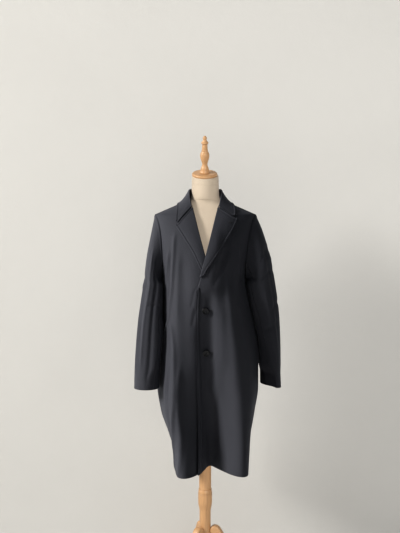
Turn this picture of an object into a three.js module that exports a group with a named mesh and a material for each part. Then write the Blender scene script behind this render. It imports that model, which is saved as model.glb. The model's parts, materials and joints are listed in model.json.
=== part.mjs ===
// A chesterfield coat worn on a limbless dress form with a turned wooden stand.
// Millimetres, +Z up, the coat's front towards -Y, the wearer's left towards +X.
// Every sewn piece is a thin wall worked out from horizontal sections of the worn coat.
import * as THREE from "three";

// ---------- driving dimensions ----------
const WALL = 2; // body and sleeve cloth
const COLLAR_WALL = 2.2; // collar and lapels
const FRONT_GAP = 2; // between the two fronts
const SEAM_GAP = 0.4; // between pieces that are sewn edge to edge
const LAYER_GAP = 1.5; // between cloth that lies on cloth

const HEM_Z = 457;
const CUFF_Z = 750;
const UNDERARM_Z = 1130;
const TIP_Z = 1351; // shoulder tip
const NECK_Z = 1401; // side of the neckline
const NECK_HALF = 61;
const BREAK_Z = 1092; // the top of the closed front edge
const OVERLAP = 29; // each front reaches this far past the button line
const EDGE_DRIFT = 12; // the closed front swings this far to the wearer's left at the hem

const BUTTON_RADIUS = 12;
const BUTTON_THICK = 3.4;
const BUTTONS = [
  { name: "button_top", x: 0, z: 1026 },
  { name: "button_low", x: 3, z: 880 },
];

const NECK_RADIUS = 49; // of the dress form
const NECK_Y = 8;
const NECK_TOP_Z = 1486;
const CAP_TILT = 18; // degrees, forwards
const CAP_RADIUS = 44;
const CAP_X = -2;
const CAP_THICK = 9;
const POLE_RADIUS = 21.5;
const POST_RADIUS = 20;
const POST_TOP_Z = 366;
const LEG_TURNS = { leg_right: 230, leg_left: 350, leg_back: 110 };
const LEG_THICK = 26;
const TOUCH = 0.3; // between rigid pieces that touch

// ---------- helpers ----------
const { lerp, clamp, degToRad, radToDeg } = THREE.MathUtils;
const vec = (x, y, z) => new THREE.Vector3(x, y, z);
const smooth = (t) => THREE.MathUtils.smoothstep(t, 0, 1);
const bell = (d, width) => Math.exp(-((d / width) ** 2));
const spread = (count, from = 0, to = 1) => Array.from({ length: count + 1 }, (_, k) => lerp(from, to, k / count));
const signOf = (v) => (v < 0 ? -1 : 1);

// The row of a table at a place along its key column, by monotone cubics through its rows.
function rowAt(table, place, key = "z") {
  const last = table.length - 1;
  const at = clamp(place, table[0][key], table[last][key]);
  let i = 0;
  while (i < last - 1 && at > table[i + 1][key]) i++;
  const [a, b] = [table[i], table[i + 1]];
  const step = b[key] - a[key];
  const t = (at - a[key]) / step;
  const rise = (k, column) => (table[k + 1][column] - table[k][column]) / (table[k + 1][key] - table[k][key]);
  const slope = (k, column) => {
    if (k === 0) return rise(0, column);
    if (k === last) return rise(last - 1, column);
    const [before, after] = [rise(k - 1, column), rise(k, column)];
    return before * after <= 0 ? 0 : (2 * before * after) / (before + after);
  };
  const row = { [key]: at };
  for (const column of Object.keys(a)) {
    if (column === key) continue;
    const bend = t * (1 - t) ** 2 * slope(i, column) - t * t * (1 - t) * slope(i + 1, column);
    row[column] = lerp(a[column], b[column], t * t * (3 - 2 * t)) + step * bend;
  }
  return row;
}

// The closed wall between two grids of points.
function wallBetween(outer, inner) {
  const rows = outer.length;
  const columns = outer[0].length;
  const at = (layer, j, i) => (layer * rows + j) * columns + i;
  const index = [];
  const quad = (a, b, c, d) => index.push(a, b, c, a, c, d);
  for (let j = 0; j < rows - 1; j++)
    for (let i = 0; i < columns - 1; i++) {
      quad(at(0, j, i), at(0, j, i + 1), at(0, j + 1, i + 1), at(0, j + 1, i));
      quad(at(1, j, i), at(1, j + 1, i), at(1, j + 1, i + 1), at(1, j, i + 1));
    }
  for (let i = 0; i < columns - 1; i++) {
    quad(at(0, 0, i), at(1, 0, i), at(1, 0, i + 1), at(0, 0, i + 1));
    quad(at(0, rows - 1, i), at(0, rows - 1, i + 1), at(1, rows - 1, i + 1), at(1, rows - 1, i));
  }
  for (let j = 0; j < rows - 1; j++) {
    quad(at(0, j, 0), at(0, j + 1, 0), at(1, j + 1, 0), at(1, j, 0));
    quad(at(0, j, columns - 1), at(1, j, columns - 1), at(1, j + 1, columns - 1), at(0, j + 1, columns - 1));
  }
  return solidFrom([...outer.flat(), ...inner.flat()], index);
}

// A solid from points and triangles, its faces turned out whichever way its grid ran.
function solidFrom(points, index) {
  let volume = 0;
  for (let k = 0; k < index.length; k += 3)
    volume += points[index[k]].dot(vec().crossVectors(points[index[k + 1]], points[index[k + 2]]));
  const faces = volume < 0 ? index.map((_, k) => index[k % 3 === 1 ? k + 1 : k % 3 === 2 ? k - 1 : k]) : index;
  const geometry = new THREE.BufferGeometry().setFromPoints(points);
  geometry.setIndex(faces);
  geometry.computeVertexNormals();
  return geometry;
}

// The wall of a thickness about a grid of middle points.
function wallAbout(grid, thickness) {
  const lastJ = grid.length - 1;
  const lastI = grid[0].length - 1;
  const normals = grid.map((row, j) =>
    row.map((_, i) => {
      const along = vec().subVectors(grid[j][Math.min(i + 1, lastI)], grid[j][Math.max(i - 1, 0)]);
      const across = vec().subVectors(grid[Math.min(j + 1, lastJ)][i], grid[Math.max(j - 1, 0)][i]);
      return along.cross(across).normalize();
    }),
  );
  const side = (way) =>
    grid.map((row, j) => row.map((p, i) => p.clone().addScaledVector(normals[j][i], (way * thickness) / 2)));
  return wallBetween(side(1), side(-1));
}

// ---------- the body of the coat ----------
// Horizontal sections. right and left are the half widths on the wearer's right and left, front and back the depths,
// ridge the y of the sides, and square the power of the superellipse.
const bodyRows = [
  { z: HEM_Z, right: 109, left: 147, front: -130, back: 152, ridge: 4, square: 3 },
  { z: 510, right: 112, left: 153, front: -129, back: 148, ridge: 4, square: 2.9 },
  { z: 580, right: 131, left: 164, front: -128, back: 144, ridge: 3, square: 2.6 },
  { z: 660, right: 158, left: 177, front: -129, back: 139, ridge: 2, square: 2.4 },
  { z: 740, right: 168, left: 188, front: -131, back: 135, ridge: 0, square: 2.3 },
  { z: 830, right: 160, left: 188, front: -132, back: 130, ridge: 0, square: 2.2 },
  { z: 920, right: 149, left: 178, front: -132, back: 124, ridge: 0, square: 2.2 },
  { z: 1000, right: 145, left: 161, front: -131, back: 119, ridge: 0, square: 2.2 },
  { z: 1090, right: 143, left: 143, front: -130, back: 115, ridge: 0, square: 2.2 },
  { z: 1130, right: 147, left: 140, front: -128, back: 114, ridge: 1, square: 2.2 },
  { z: 1187, right: 155, left: 147, front: -123, back: 112, ridge: 3, square: 2.2 },
  { z: 1240, right: 162, left: 157, front: -112, back: 108, ridge: 4, square: 2.2 },
  { z: 1310, right: 170, left: 170, front: -86, back: 97, ridge: 6, square: 2.2 },
  { z: TIP_Z, right: 175, left: 175, front: -62, back: 82, ridge: 6, square: 2.2 },
];
// The shoulders are straight slopes from tip to neck.
const shoulderRows = [
  { z: TIP_Z, half: 175, front: -62, back: 82 },
  { z: 1393, half: 79, front: -43, back: 66 },
  { z: NECK_Z + 3, half: NECK_HALF - 2, front: -38, back: 63 },
];

function section(z, side) {
  const row = rowAt(bodyRows, z);
  if (z <= TIP_Z) return { ...row, half: side > 0 ? row.left : row.right };
  const [low, middle, high] = shoulderRows;
  const [a, b] = z <= middle.z ? [low, middle] : [middle, high];
  const t = clamp((z - a.z) / (b.z - a.z), 0, 1);
  return { ...row, half: lerp(a.half, b.half, t), front: lerp(a.front, b.front, t), back: lerp(a.back, b.back, t) };
}

// Hanging folds. Each runs from its top down to the hem along a bearing round the section, in degrees from the
// front towards the wearer's left, and moves the cloth out by its depth, or in where that is negative.
const bodyFolds = [
  { name: "front valley", topZ: 1085, topBearing: -2, hemBearing: 11, topWidth: 15, hemWidth: 21, depth: -92, power: 1.4 },
  { name: "right front lobe", topZ: 1150, topBearing: -42, hemBearing: -34, topWidth: 15, hemWidth: 17, depth: 44, power: 1 },
  { name: "left front lobe", topZ: 1180, topBearing: 36, hemBearing: 43, topWidth: 16, hemWidth: 16, depth: 58, power: 1 },
  { name: "right side hollow", topZ: 880, topBearing: -64, hemBearing: -70, topWidth: 9, hemWidth: 10, depth: -5, power: 0.7 },
  { name: "left side hollow", topZ: 980, topBearing: 66, hemBearing: 78, topWidth: 8, hemWidth: 11, depth: -7, power: 0.7 },
  { name: "back right fold", topZ: 1150, topBearing: -140, hemBearing: -132, topWidth: 12, hemWidth: 13, depth: 15, power: 0.9 },
  { name: "back right hollow", topZ: 1120, topBearing: -162, hemBearing: -157, topWidth: 10, hemWidth: 12, depth: -19, power: 1 },
  { name: "back left hollow", topZ: 1120, topBearing: 158, hemBearing: 153, topWidth: 10, hemWidth: 12, depth: -22, power: 1 },
  { name: "back left fold", topZ: 1150, topBearing: 138, hemBearing: 130, topWidth: 12, hemWidth: 13, depth: 13, power: 0.9 },
];

const FOLD_SIDEWAYS = 0.6; // share of a fold's depth that it keeps towards the sides

function foldDepth(bearing, z) {
  let depth = 0;
  for (const fold of bodyFolds) {
    const t = clamp((fold.topZ - z) / (fold.topZ - HEM_Z), 0, 1);
    const away = ((bearing - lerp(fold.topBearing, fold.hemBearing, t) + 540) % 360) - 180;
    const width = lerp(fold.topWidth, fold.hemWidth, t);
    if (t > 0) depth += fold.depth * t ** fold.power * smooth(t * 5) * bell(away, width);
  }
  return depth;
}

// Where the superellipse of a power lies at a turn, as shares of its half width and of its depth.
function superPoint(turn, square) {
  const [sine, cosine] = [Math.sin(degToRad(turn)), Math.cos(degToRad(turn))];
  const reach = (Math.abs(sine) ** square + Math.abs(cosine) ** square) ** (-1 / square);
  return { across: reach * sine, ahead: reach * cosine };
}
const otherShare = (share, square) => (1 - clamp(Math.abs(share), 0, 1) ** square) ** (1 / square);

// The hem rides up a little in the front valley.
const HEM_RISE = 9;
const hemHeight = (turn) => HEM_Z + HEM_RISE * bell(turn - bodyFolds[0].hemBearing, bodyFolds[0].hemWidth);

// The coat's outer surface at a turn round the section, in degrees from the front, and a height.
function bodyPoint(turn, z) {
  const s = section(z, signOf(Math.sin(degToRad(turn))));
  const { across, ahead } = superPoint(turn, s.square);
  const fold = foldDepth(turn, z);
  const x = across * s.half + FOLD_SIDEWAYS * fold * Math.sin(degToRad(turn));
  const depth = ahead > 0 ? s.ridge - s.front : s.back - s.ridge;
  return vec(x, s.ridge - ahead * depth - fold * Math.cos(degToRad(turn)), z);
}

function bodyNormal(turn, z) {
  const around = bodyPoint(turn + 0.6, z).sub(bodyPoint(turn - 0.6, z));
  const up = bodyPoint(turn, z + 1.2).sub(bodyPoint(turn, z - 1.2));
  return around.cross(up).normalize();
}
const lifted = ({ turn, z }, lift) => bodyPoint(turn, z).addScaledVector(bodyNormal(turn, z), lift);

// The turn at which the section, its folds left out, reaches an x or a y.
function turnAtX(x, z, back = false) {
  const side = signOf(x);
  const { half, square } = section(z, side);
  const across = clamp(Math.abs(x) / half, 0, 1);
  const turn = radToDeg(Math.atan2(across, otherShare(across, square)));
  return side * (back ? 180 - turn : turn);
}
function turnAtY(y, z, side) {
  const { ridge, front, back, square } = section(z, side);
  const ahead = Math.abs(y - ridge) / (y <= ridge ? ridge - front : back - ridge);
  const turn = radToDeg(Math.atan2(otherShare(ahead, square), ahead));
  return side * (y <= ridge ? turn : 180 - turn);
}

// The armhole, at an angle of 0 at the shoulder tip, 90 at the front, 180 under the arm and 270 at the back.
const ARMHOLE_FRONT = 62;
const ARMHOLE_BACK = 68;
function armhole(angle, side) {
  const [sine, cosine] = [Math.sin(degToRad(angle)), Math.cos(degToRad(angle))];
  const z = lerp(UNDERARM_Z, TIP_Z, (1 + cosine) / 2);
  const reach = sine > 0 ? ARMHOLE_FRONT : ARMHOLE_BACK;
  return { turn: turnAtY(section(z, side).ridge - reach * sine, z, side), z };
}

// ---------- fronts and backs ----------
// The roll lines, from the break up to the gorge.
const rollRows = [
  { z: BREAK_Z, left: -OVERLAP, right: OVERLAP },
  { z: 1140, left: -16, right: 14 },
  { z: 1208, left: 2.5, right: -3 },
  { z: 1290, left: 24, right: -25 },
  { z: 1345, left: 38, right: -39 },
  { z: 1374, left: 46, right: -47 },
];
const GORGE_Z = rollRows.at(-1).z;
const rollX = (z, side) => rowAt(rollRows, z)[side > 0 ? "left" : "right"];
const edgeX = (z, side) => (EDGE_DRIFT * (BREAK_Z - z)) / (BREAK_Z - HEM_Z) - side * OVERLAP;

// How far the wearer's left front stands off the body where it lies on the right front and on its lapel.
function frontLift(x, z, side) {
  if (side < 0) return 0;
  const onLapel = (COLLAR_WALL + LAYER_GAP) * smooth((z - 1070) / 30);
  return (WALL + FRONT_GAP + onLapel) * smooth((1340 - z) / 120) * smooth((OVERLAP + 40 - x) / 36);
}

// Where a panel's columns end at its top: on the roll line, at the neck, on the shoulder seam, then at the armhole.
const ARM_SPANS = 10; // of panel and sleeve round half an armhole
const FRONT = { rows: 21, gorge: 0.32, neck: 0.42, tip: 0.7, spans: [6, 2, 4, ARM_SPANS] };
const BACK = { rows: 17, gorge: 0, neck: 0.34, tip: 0.66, spans: [0, 4, 4, ARM_SPANS] };

function panelTop(u, panel, side, back) {
  if (u < panel.gorge) {
    const z = lerp(BREAK_Z, GORGE_Z, u / panel.gorge);
    return { z, x: rollX(z, side) };
  }
  if (u < panel.neck) {
    const t = (u - panel.gorge) / (panel.neck - panel.gorge);
    if (back) return { z: NECK_Z, x: side * section(NECK_Z, side).half * Math.sin((t * Math.PI) / 2) };
    return { z: lerp(GORGE_Z, NECK_Z, t), x: lerp(rollX(GORGE_Z, side), side * section(NECK_Z, side).half, t) };
  }
  if (u < panel.tip) {
    const z = lerp(NECK_Z, TIP_Z, (u - panel.neck) / (panel.tip - panel.neck));
    return { z, x: side * section(z, side).half };
  }
  const t = (u - panel.tip) / (1 - panel.tip);
  return armhole(back ? 360 - 180 * t : 180 * t, side);
}

// A place on a panel, v of the way up its column u. Low down the columns hang at even turns.
const HANG_Z = 960;
function panelPlace(u, v, panel, side, back) {
  const top = panelTop(u, panel, side, back);
  const level = lerp(HEM_Z, top.z, v);
  const start = back ? side * 180 : turnAtX(edgeX(Math.min(level, BREAK_Z), side), level);
  const low = lerp(start, side * 90, u);
  const z = lerp(hemHeight(low), top.z, v);
  const rise = clamp((z - HANG_Z) / (top.z - HANG_Z), 0, 1) ** 2.5;
  if (u >= panel.tip) return { turn: lerp(low, top.turn, rise), z };
  const { half, square } = section(z, signOf(low));
  const x = clamp(lerp(half * superPoint(low, square).across, top.x, rise), -half, half);
  return { turn: back && Math.abs(x) < 1e-6 ? side * 180 : turnAtX(x, z, back), z };
}

function panelGrid(panel, side, back) {
  const stops = [0, panel.gorge, panel.neck, panel.tip, 1];
  const columns = panel.spans.flatMap((count, k) => (count ? spread(count, stops[k], stops[k + 1]).slice(1) : []));
  columns.unshift(0);
  return spread(panel.rows).map((t) => columns.map((u) => panelPlace(u, 1 - (1 - t) ** 1.7, panel, side, back)));
}

// The grid with its side and top rims drawn back, so that sewn pieces stand apart.
function drawnBack(grid, gap) {
  const moved = grid.map((row) => row.map((p) => ({ ...p })));
  const draw = (j, i, j2, i2) => {
    const [p, q] = [grid[j][i], grid[j2][i2]];
    const length = bodyPoint(p.turn, p.z).distanceTo(bodyPoint(q.turn, q.z));
    const t = Math.min(0.45, gap / length);
    moved[j][i].turn += (q.turn - p.turn) * t;
    moved[j][i].z += (q.z - p.z) * t;
  };
  const top = grid.length - 1;
  const end = grid[0].length - 1;
  for (let j = 0; j <= top; j++) {
    draw(j, 0, j, 1);
    draw(j, end, j, end - 1);
  }
  for (let i = 0; i <= end; i++) draw(top, i, top - 1, i);
  return moved;
}

function panelWall(panel, side, back) {
  const grid = drawnBack(panelGrid(panel, side, back), SEAM_GAP / 2);
  const lift = (p) => (back ? 0 : frontLift(bodyPoint(p.turn, p.z).x, p.z, side));
  const layer = (depth) => grid.map((row) => row.map((p) => lifted(p, lift(p) - depth)));
  return wallBetween(layer(0), layer(WALL));
}

// ---------- lapels and collar ----------
const FOLD_RADIUS = LAYER_GAP / 2 + COLLAR_WALL / 2; // of the middle of the cloth as it turns over

// The outer edge of each lapel from its foot to its point, and the corner of its notch.
const lapelRows = {
  left: [
    { v: 0, x: -5, z: 1150 },
    { v: 0.12, x: 6, z: 1169 },
    { v: 0.4, x: 42, z: 1222 },
    { v: 0.75, x: 84, z: 1286 },
    { v: 1, x: 109, z: 1325 },
  ],
  right: [
    { v: 0, x: 8, z: 1134 },
    { v: 0.18, x: -14, z: 1164 },
    { v: 0.45, x: -42, z: 1222 },
    { v: 0.75, x: -73, z: 1271 },
    { v: 1, x: -97, z: 1317 },
  ],
};
const notches = { left: { x: 97, z: 1343.5 }, right: { x: -82, z: 1326 } };
const NOTCH_AT = 0.78; // of the way along the lapel's top edge

const onFront = (x, z, lift, side) =>
  lifted({ turn: turnAtX(x, z), z }, frontLift(x, z, side) + lift);

// The middle points of cloth that turns over at a roll point and then lies outwards through the given points.
function turnedOver(roll, along, normal, flat) {
  const out = vec().crossVectors(along, normal).normalize();
  if (out.dot(vec().subVectors(flat[0], roll)) < 0) out.negate();
  const centre = roll.clone().addScaledVector(normal, LAYER_GAP / 2);
  const bend = spread(4, 0, 180).map((angle) =>
    centre
      .clone()
      .addScaledVector(out, -2 * SEAM_GAP - FOLD_RADIUS * Math.sin(degToRad(angle)))
      .addScaledVector(normal, -FOLD_RADIUS * Math.cos(degToRad(angle))),
  );
  return [...bend, ...flat];
}

function lapelGrid(side, rows = 11, columns = 7) {
  const name = side > 0 ? "left" : "right";
  const foot = lapelRows[name][0];
  const notch = notches[name];
  const tip = lapelRows[name].at(-1);
  return spread(rows).map((v) => {
    const rollZ = lerp(foot.z - 8, GORGE_Z - 1.5, v);
    const roll = { x: rollX(rollZ, side), z: rollZ };
    const outer = rowAt(lapelRows[name], v, "v");
    const bent = smooth((v - 0.7) / 0.3);
    const kink = {
      x: bent * (notch.x - lerp(rollX(GORGE_Z, side), tip.x, NOTCH_AT)),
      z: bent * (notch.z - lerp(GORGE_Z, tip.z, NOTCH_AT)),
    };
    const lift = LAYER_GAP + COLLAR_WALL / 2;
    const flat = spread(columns, 0.06, 1).map((u) => {
      const near = u < NOTCH_AT ? u / NOTCH_AT : (1 - u) / (1 - NOTCH_AT);
      return onFront(lerp(roll.x, outer.x, u) + kink.x * near, lerp(roll.z, outer.z, u) + kink.z * near, lift, side);
    });
    const edge = onFront(roll.x, roll.z, 0, side);
    const along = onFront(rollX(rollZ + 2, side), rollZ + 2, 0, side).sub(edge);
    return turnedOver(edge, along, bodyNormal(turnAtX(roll.x, roll.z), roll.z), flat);
  });
}

// The collar from the middle of the back, s of 0, to the gorge, s of 1: its roll, and its outer edge on each side.
const collarRows = [
  { s: 0, rollX: 0, rollY: 61, rollZ: 1436, leftX: 0, leftZ: 1382, rightX: 0, rightZ: 1382 },
  { s: 0.2, rollX: 28, rollY: 54.5, rollZ: 1436, leftX: 37, leftZ: 1382, rightX: 37, rightZ: 1382 },
  { s: 0.4, rollX: 47, rollY: 36, rollZ: 1436, leftX: 74, leftZ: 1383, rightX: 74, rightZ: 1383 },
  { s: 0.6, rollX: 54, rollY: 8, rollZ: 1434, leftX: 94, leftZ: 1386, rightX: 95, rightZ: 1386 },
  { s: 0.76, rollX: 54, rollY: -16, rollZ: 1421, leftX: 100, leftZ: 1375, rightX: 98, rightZ: 1369 },
  { s: 0.9, rollX: 51, rollY: -36, rollZ: 1398, leftX: 106, leftZ: 1361, rightX: 97, rightZ: 1348 },
  { s: 1, rollX: 46.3, rollY: -47, rollZ: 1377, leftX: 109, leftZ: 1350, rightX: 95, rightZ: 1331 },
];

function neckline(s, side) {
  if (s <= 0.6) {
    const x = side * section(NECK_Z, side).half * Math.sin((s / 0.6) * (Math.PI / 2));
    return { turn: Math.abs(x) < 1e-6 ? side * 180 : turnAtX(x, NECK_Z, true), z: NECK_Z };
  }
  const t = (s - 0.6) / 0.4;
  const z = lerp(NECK_Z, GORGE_Z, t);
  return { turn: turnAtX(lerp(side * section(NECK_Z, side).half, rollX(GORGE_Z, side), t), z), z };
}

function collarStation(place) {
  const side = signOf(place);
  const s = Math.abs(place);
  const name = side > 0 ? "left" : "right";
  const row = rowAt(collarRows, s, "s");
  const edgeZ = row[`${name}Z`];
  const edge = { turn: turnAtX(side * row[`${name}X`], edgeZ, s < 0.6), z: edgeZ };
  const neck = neckline(s, side);
  const foot = lifted(neck, 0);
  const roll = vec(side * row.rollX, row.rollY, row.rollZ);
  const outwards = vec(foot.x, foot.y - NECK_Y, 0).normalize();
  foot.addScaledVector(outwards, -SEAM_GAP - COLLAR_WALL / 2);
  foot.z += SEAM_GAP;
  const stand = spread(3, 0, 0.92).map((t) => vec().lerpVectors(foot, roll, t));
  const tip = lifted(edge, LAYER_GAP + COLLAR_WALL / 2);
  const corner = lifted({ turn: lerp(neck.turn, edge.turn, 0.42), z: lerp(neck.z, edge.z, 0.42) }, 3);
  const start = roll.clone().addScaledVector(outwards, FOLD_RADIUS * 2);
  const top = roll.clone().addScaledVector(outwards, FOLD_RADIUS);
  top.z += FOLD_RADIUS;
  const fall = new THREE.QuadraticBezierCurve3(start, corner, tip).getPoints(7);
  return [...stand, top, ...fall];
}

// ---------- sleeves ----------
// Rings of each sleeve below the armhole: the upper outer end and the lower inner end of the ring as x and z, the y of
// its middle, its half depth, its yaw in degrees and how far its inner front is pushed in.
const sleeveRings = {
  right: [
    { at: 1, outX: 188, outZ: 1289, inX: 152, inZ: 1106, y: 3, deep: 68, yaw: 0, dent: 0 },
    { at: 2, outX: 204, outZ: 1208, inX: 151, inZ: 1078, y: -2, deep: 64, yaw: 0, dent: 0 },
    { at: 3, outX: 214, outZ: 1126, inX: 151, inZ: 1052, y: -10, deep: 60, yaw: 0, dent: 0 },
    { at: 4, outX: 224, outZ: 1058, inX: 152, inZ: 1022, y: -20, deep: 56, yaw: 0, dent: 2 },
    { at: 5, outX: 235, outZ: 978, inX: 153, inZ: 962, y: -32, deep: 51, yaw: 0, dent: 2 },
    { at: 6, outX: 242, outZ: 895, inX: 153, inZ: 889, y: -45, deep: 46, yaw: 0, dent: 1 },
    { at: 7, outX: 246, outZ: 818, inX: 157, inZ: 818, y: -58, deep: 43, yaw: 0, dent: 0 },
    { at: 8, outX: 248, outZ: CUFF_Z, inX: 161, inZ: CUFF_Z, y: -64, deep: 41, yaw: 0, dent: 0 },
  ],
  left: [
    { at: 1, outX: 201, outZ: 1290, inX: 149, inZ: 1100, y: 4, deep: 70, yaw: 2, dent: 0 },
    { at: 2, outX: 223, outZ: 1215, inX: 153, inZ: 1068, y: 3, deep: 67, yaw: 4, dent: 0 },
    { at: 3, outX: 238, outZ: 1138, inX: 160, inZ: 1035, y: 1, deep: 63, yaw: 6, dent: 0 },
    { at: 4, outX: 249, outZ: 1066, inX: 170, inZ: 1000, y: 0, deep: 61, yaw: 8, dent: 2 },
    { at: 5, outX: 256, outZ: 990, inX: 182, inZ: 950, y: -2, deep: 60, yaw: 10, dent: 4 },
    { at: 6, outX: 259, outZ: 905, inX: 194, inZ: 888, y: -4, deep: 60, yaw: 12, dent: 7 },
    { at: 7, outX: 259, outZ: 820, inX: 200, inZ: 818, y: -8, deep: 61, yaw: 15, dent: 10 },
    { at: 8, outX: 259, outZ: CUFF_Z, inX: 204, inZ: CUFF_Z, y: -11, deep: 62, yaw: 18, dent: 12 },
  ],
};

function ringPoint(ring, angle, side) {
  const [sine, cosine] = [Math.sin(degToRad(angle)), Math.cos(degToRad(angle))];
  const pushed = ring.dent * bell(((angle + 360) % 360) - 140, 30);
  const reach = ring.deep * sine - pushed * 0.3;
  const out = (ring.outX + ring.inX) / 2 + ((ring.outX - ring.inX) / 2) * cosine;
  return vec(
    side * (out + reach * Math.sin(degToRad(ring.yaw)) + pushed),
    ring.y - reach * Math.cos(degToRad(ring.yaw)),
    (ring.outZ + ring.inZ) / 2 + ((ring.outZ - ring.inZ) / 2) * cosine,
  );
}

function sleevePoint(angle, t, side) {
  const rings = sleeveRings[side > 0 ? "left" : "right"];
  const start = lifted(armhole((angle + 360) % 360, side), 0);
  start.x += side * 2 * SEAM_GAP;
  const controls = [start, ...rings.map((ring) => ringPoint(ring, angle, side))];
  return new THREE.CatmullRomCurve3(controls, false, "catmullrom", 0.5).getPoint(t);
}

function sleeveNormal(angle, t, side) {
  const around = sleevePoint(angle + 1, t, side).sub(sleevePoint(angle - 1, t, side));
  const [low, high] = [Math.max(t - 0.01, 0), Math.min(t + 0.01, 1)];
  const along = sleevePoint(angle, high, side).sub(sleevePoint(angle, low, side));
  return along.cross(around).multiplyScalar(-side).normalize();
}

const SLEEVE_SEAMS = { front: 126, back: 234 };
const SLEEVE_DRAW = 0.35; // degrees drawn back from each seam
function sleeveWall(from, to, side, rows = 14) {
  const angles = spread(((to - from) * ARM_SPANS) / 180, from, to);
  angles[0] += SLEEVE_DRAW;
  angles[angles.length - 1] -= SLEEVE_DRAW;
  const place = (angle, t, depth) =>
    sleevePoint(angle, t, side).addScaledVector(sleeveNormal(angle, t, side), -depth);
  const layer = (depth) => spread(rows).map((t) => angles.map((angle) => place(angle, t, depth)));
  return wallBetween(layer(0), layer(WALL));
}

// ---------- buttons ----------
const BUTTON_ROUND = 0.8;
const BUTTON_HOLE = { radius: 1.6, offset: 3.1 };
function buttonOn({ x, z }) {
  const circle = (count, radius, cx, cy) =>
    spread(count, 0, 2 * Math.PI)
      .slice(0, -1)
      .map((a) => new THREE.Vector2(cx + radius * Math.cos(a), cy + radius * Math.sin(a)));
  const face = new THREE.Shape(circle(24, BUTTON_RADIUS - BUTTON_ROUND, 0, 0));
  for (const turn of [45, 135, 225, 315].map(degToRad)) {
    const { radius, offset } = BUTTON_HOLE;
    face.holes.push(new THREE.Path(circle(6, radius, offset * Math.cos(turn), offset * Math.sin(turn))));
  }
  const geometry = new THREE.ExtrudeGeometry(face, {
    depth: BUTTON_THICK - 2 * BUTTON_ROUND,
    bevelThickness: BUTTON_ROUND,
    bevelSize: BUTTON_ROUND,
    bevelSegments: 1,
  });
  const under = onFront(x, z, 0, 1);
  const normal = bodyNormal(turnAtX(x, z), z);
  const heights = spread(12, 0, 2 * Math.PI).map((a) => {
    const rim = onFront(x + BUTTON_RADIUS * Math.cos(a), z + BUTTON_RADIUS * Math.sin(a), 0, 1);
    return rim.sub(under).dot(normal);
  });
  const at = under.addScaledVector(normal, Math.max(0, ...heights) + BUTTON_ROUND + LAYER_GAP / 2);
  const look = new THREE.Matrix4().lookAt(normal, vec(0, 0, 0), vec(0, 0, 1));
  return geometry.applyMatrix4(look.setPosition(at));
}

// ---------- dress form and stand ----------
const formRows = [
  { z: 792, half: 134, front: -80, back: 92, middle: 6 },
  { z: 850, half: 138, front: -86, back: 102, middle: 6 },
  { z: 930, half: 127, front: -86, back: 92, middle: 4 },
  { z: 1010, half: 112, front: -82, back: 80, middle: 2 },
  { z: 1090, half: 119, front: -92, back: 84, middle: 2 },
  { z: 1180, half: 132, front: -106, back: 92, middle: 2 },
  { z: 1240, half: 142, front: -98, back: 94, middle: 3 },
  { z: 1300, half: 153, front: -76, back: 88, middle: 5 },
  { z: 1340, half: 165, front: -56, back: 78, middle: 6 },
  { z: 1351, half: 168, front: -52, back: 76, middle: 6 },
  { z: 1393, half: 63, front: -34, back: 57, middle: 7 },
  { z: 1404, half: 52, front: -39, back: 57, middle: 8 },
  { z: 1416, half: NECK_RADIUS, front: NECK_Y - NECK_RADIUS, back: NECK_Y + NECK_RADIUS, middle: NECK_Y },
  { z: NECK_TOP_Z, half: 46, front: NECK_Y - 46, back: NECK_Y + 46, middle: NECK_Y },
];
const formHeights = [792, 820, 850, 890, 930, 970, 1010, 1050, 1090, 1135, 1180, 1210, 1240, 1270, 1300, 1322, 1340];
const neckHeights = [1351, 1365, 1379, 1393, 1404, 1416, 1440, 1463, NECK_TOP_Z];

// The form's shoulders follow the coat's from below.
const SHOULDER_DROP = { half: 11, depth: 6 };
function insideCoat(row) {
  if (row.z < 1300 || row.z > NECK_Z) return row;
  const coat = section(row.z, 1);
  return {
    ...row,
    half: Math.min(row.half, coat.half - SHOULDER_DROP.half),
    front: Math.max(row.front, coat.front + SHOULDER_DROP.depth),
    back: Math.min(row.back, coat.back - SHOULDER_DROP.depth),
  };
}

function formTorso(columns = 32) {
  const points = [];
  const heights = [...formHeights, ...neckHeights];
  for (const z of heights) {
    const row = insideCoat(rowAt(formRows, z));
    const slant = Math.tan(degToRad(CAP_TILT)) * smooth((z - 1416) / (NECK_TOP_Z - 1416));
    for (const turn of spread(columns, 0, 360).slice(0, -1)) {
      const [sine, cosine] = [Math.sin(degToRad(turn)), Math.cos(degToRad(turn))];
      const y = row.middle - cosine * (cosine > 0 ? row.middle - row.front : row.back - row.middle);
      points.push(vec(row.half * sine, y, z + (y - NECK_Y) * slant));
    }
  }
  const index = [];
  for (let j = 0; j < heights.length - 1; j++)
    for (let i = 0; i < columns; i++) {
      const [a, b] = [j * columns + i, j * columns + ((i + 1) % columns)];
      index.push(a, b, b + columns, a, b + columns, a + columns);
    }
  const cap = (ring, way) => {
    const centre = points.push(vec(0, NECK_Y, heights[ring])) - 1;
    for (let i = 0; i < columns; i++) {
      const [a, b] = [ring * columns + i, ring * columns + ((i + 1) % columns)];
      index.push(...(way > 0 ? [centre, a, b] : [centre, b, a]));
    }
  };
  cap(0, -1);
  cap(heights.length - 1, 1);
  return solidFrom(points, index);
}

// A turned piece: radii r against heights h.
const turned = (rows, segments = 24) =>
  new THREE.LatheGeometry(rows.map(({ r, h }) => new THREE.Vector2(r, h)), segments).rotateX(Math.PI / 2);

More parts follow.
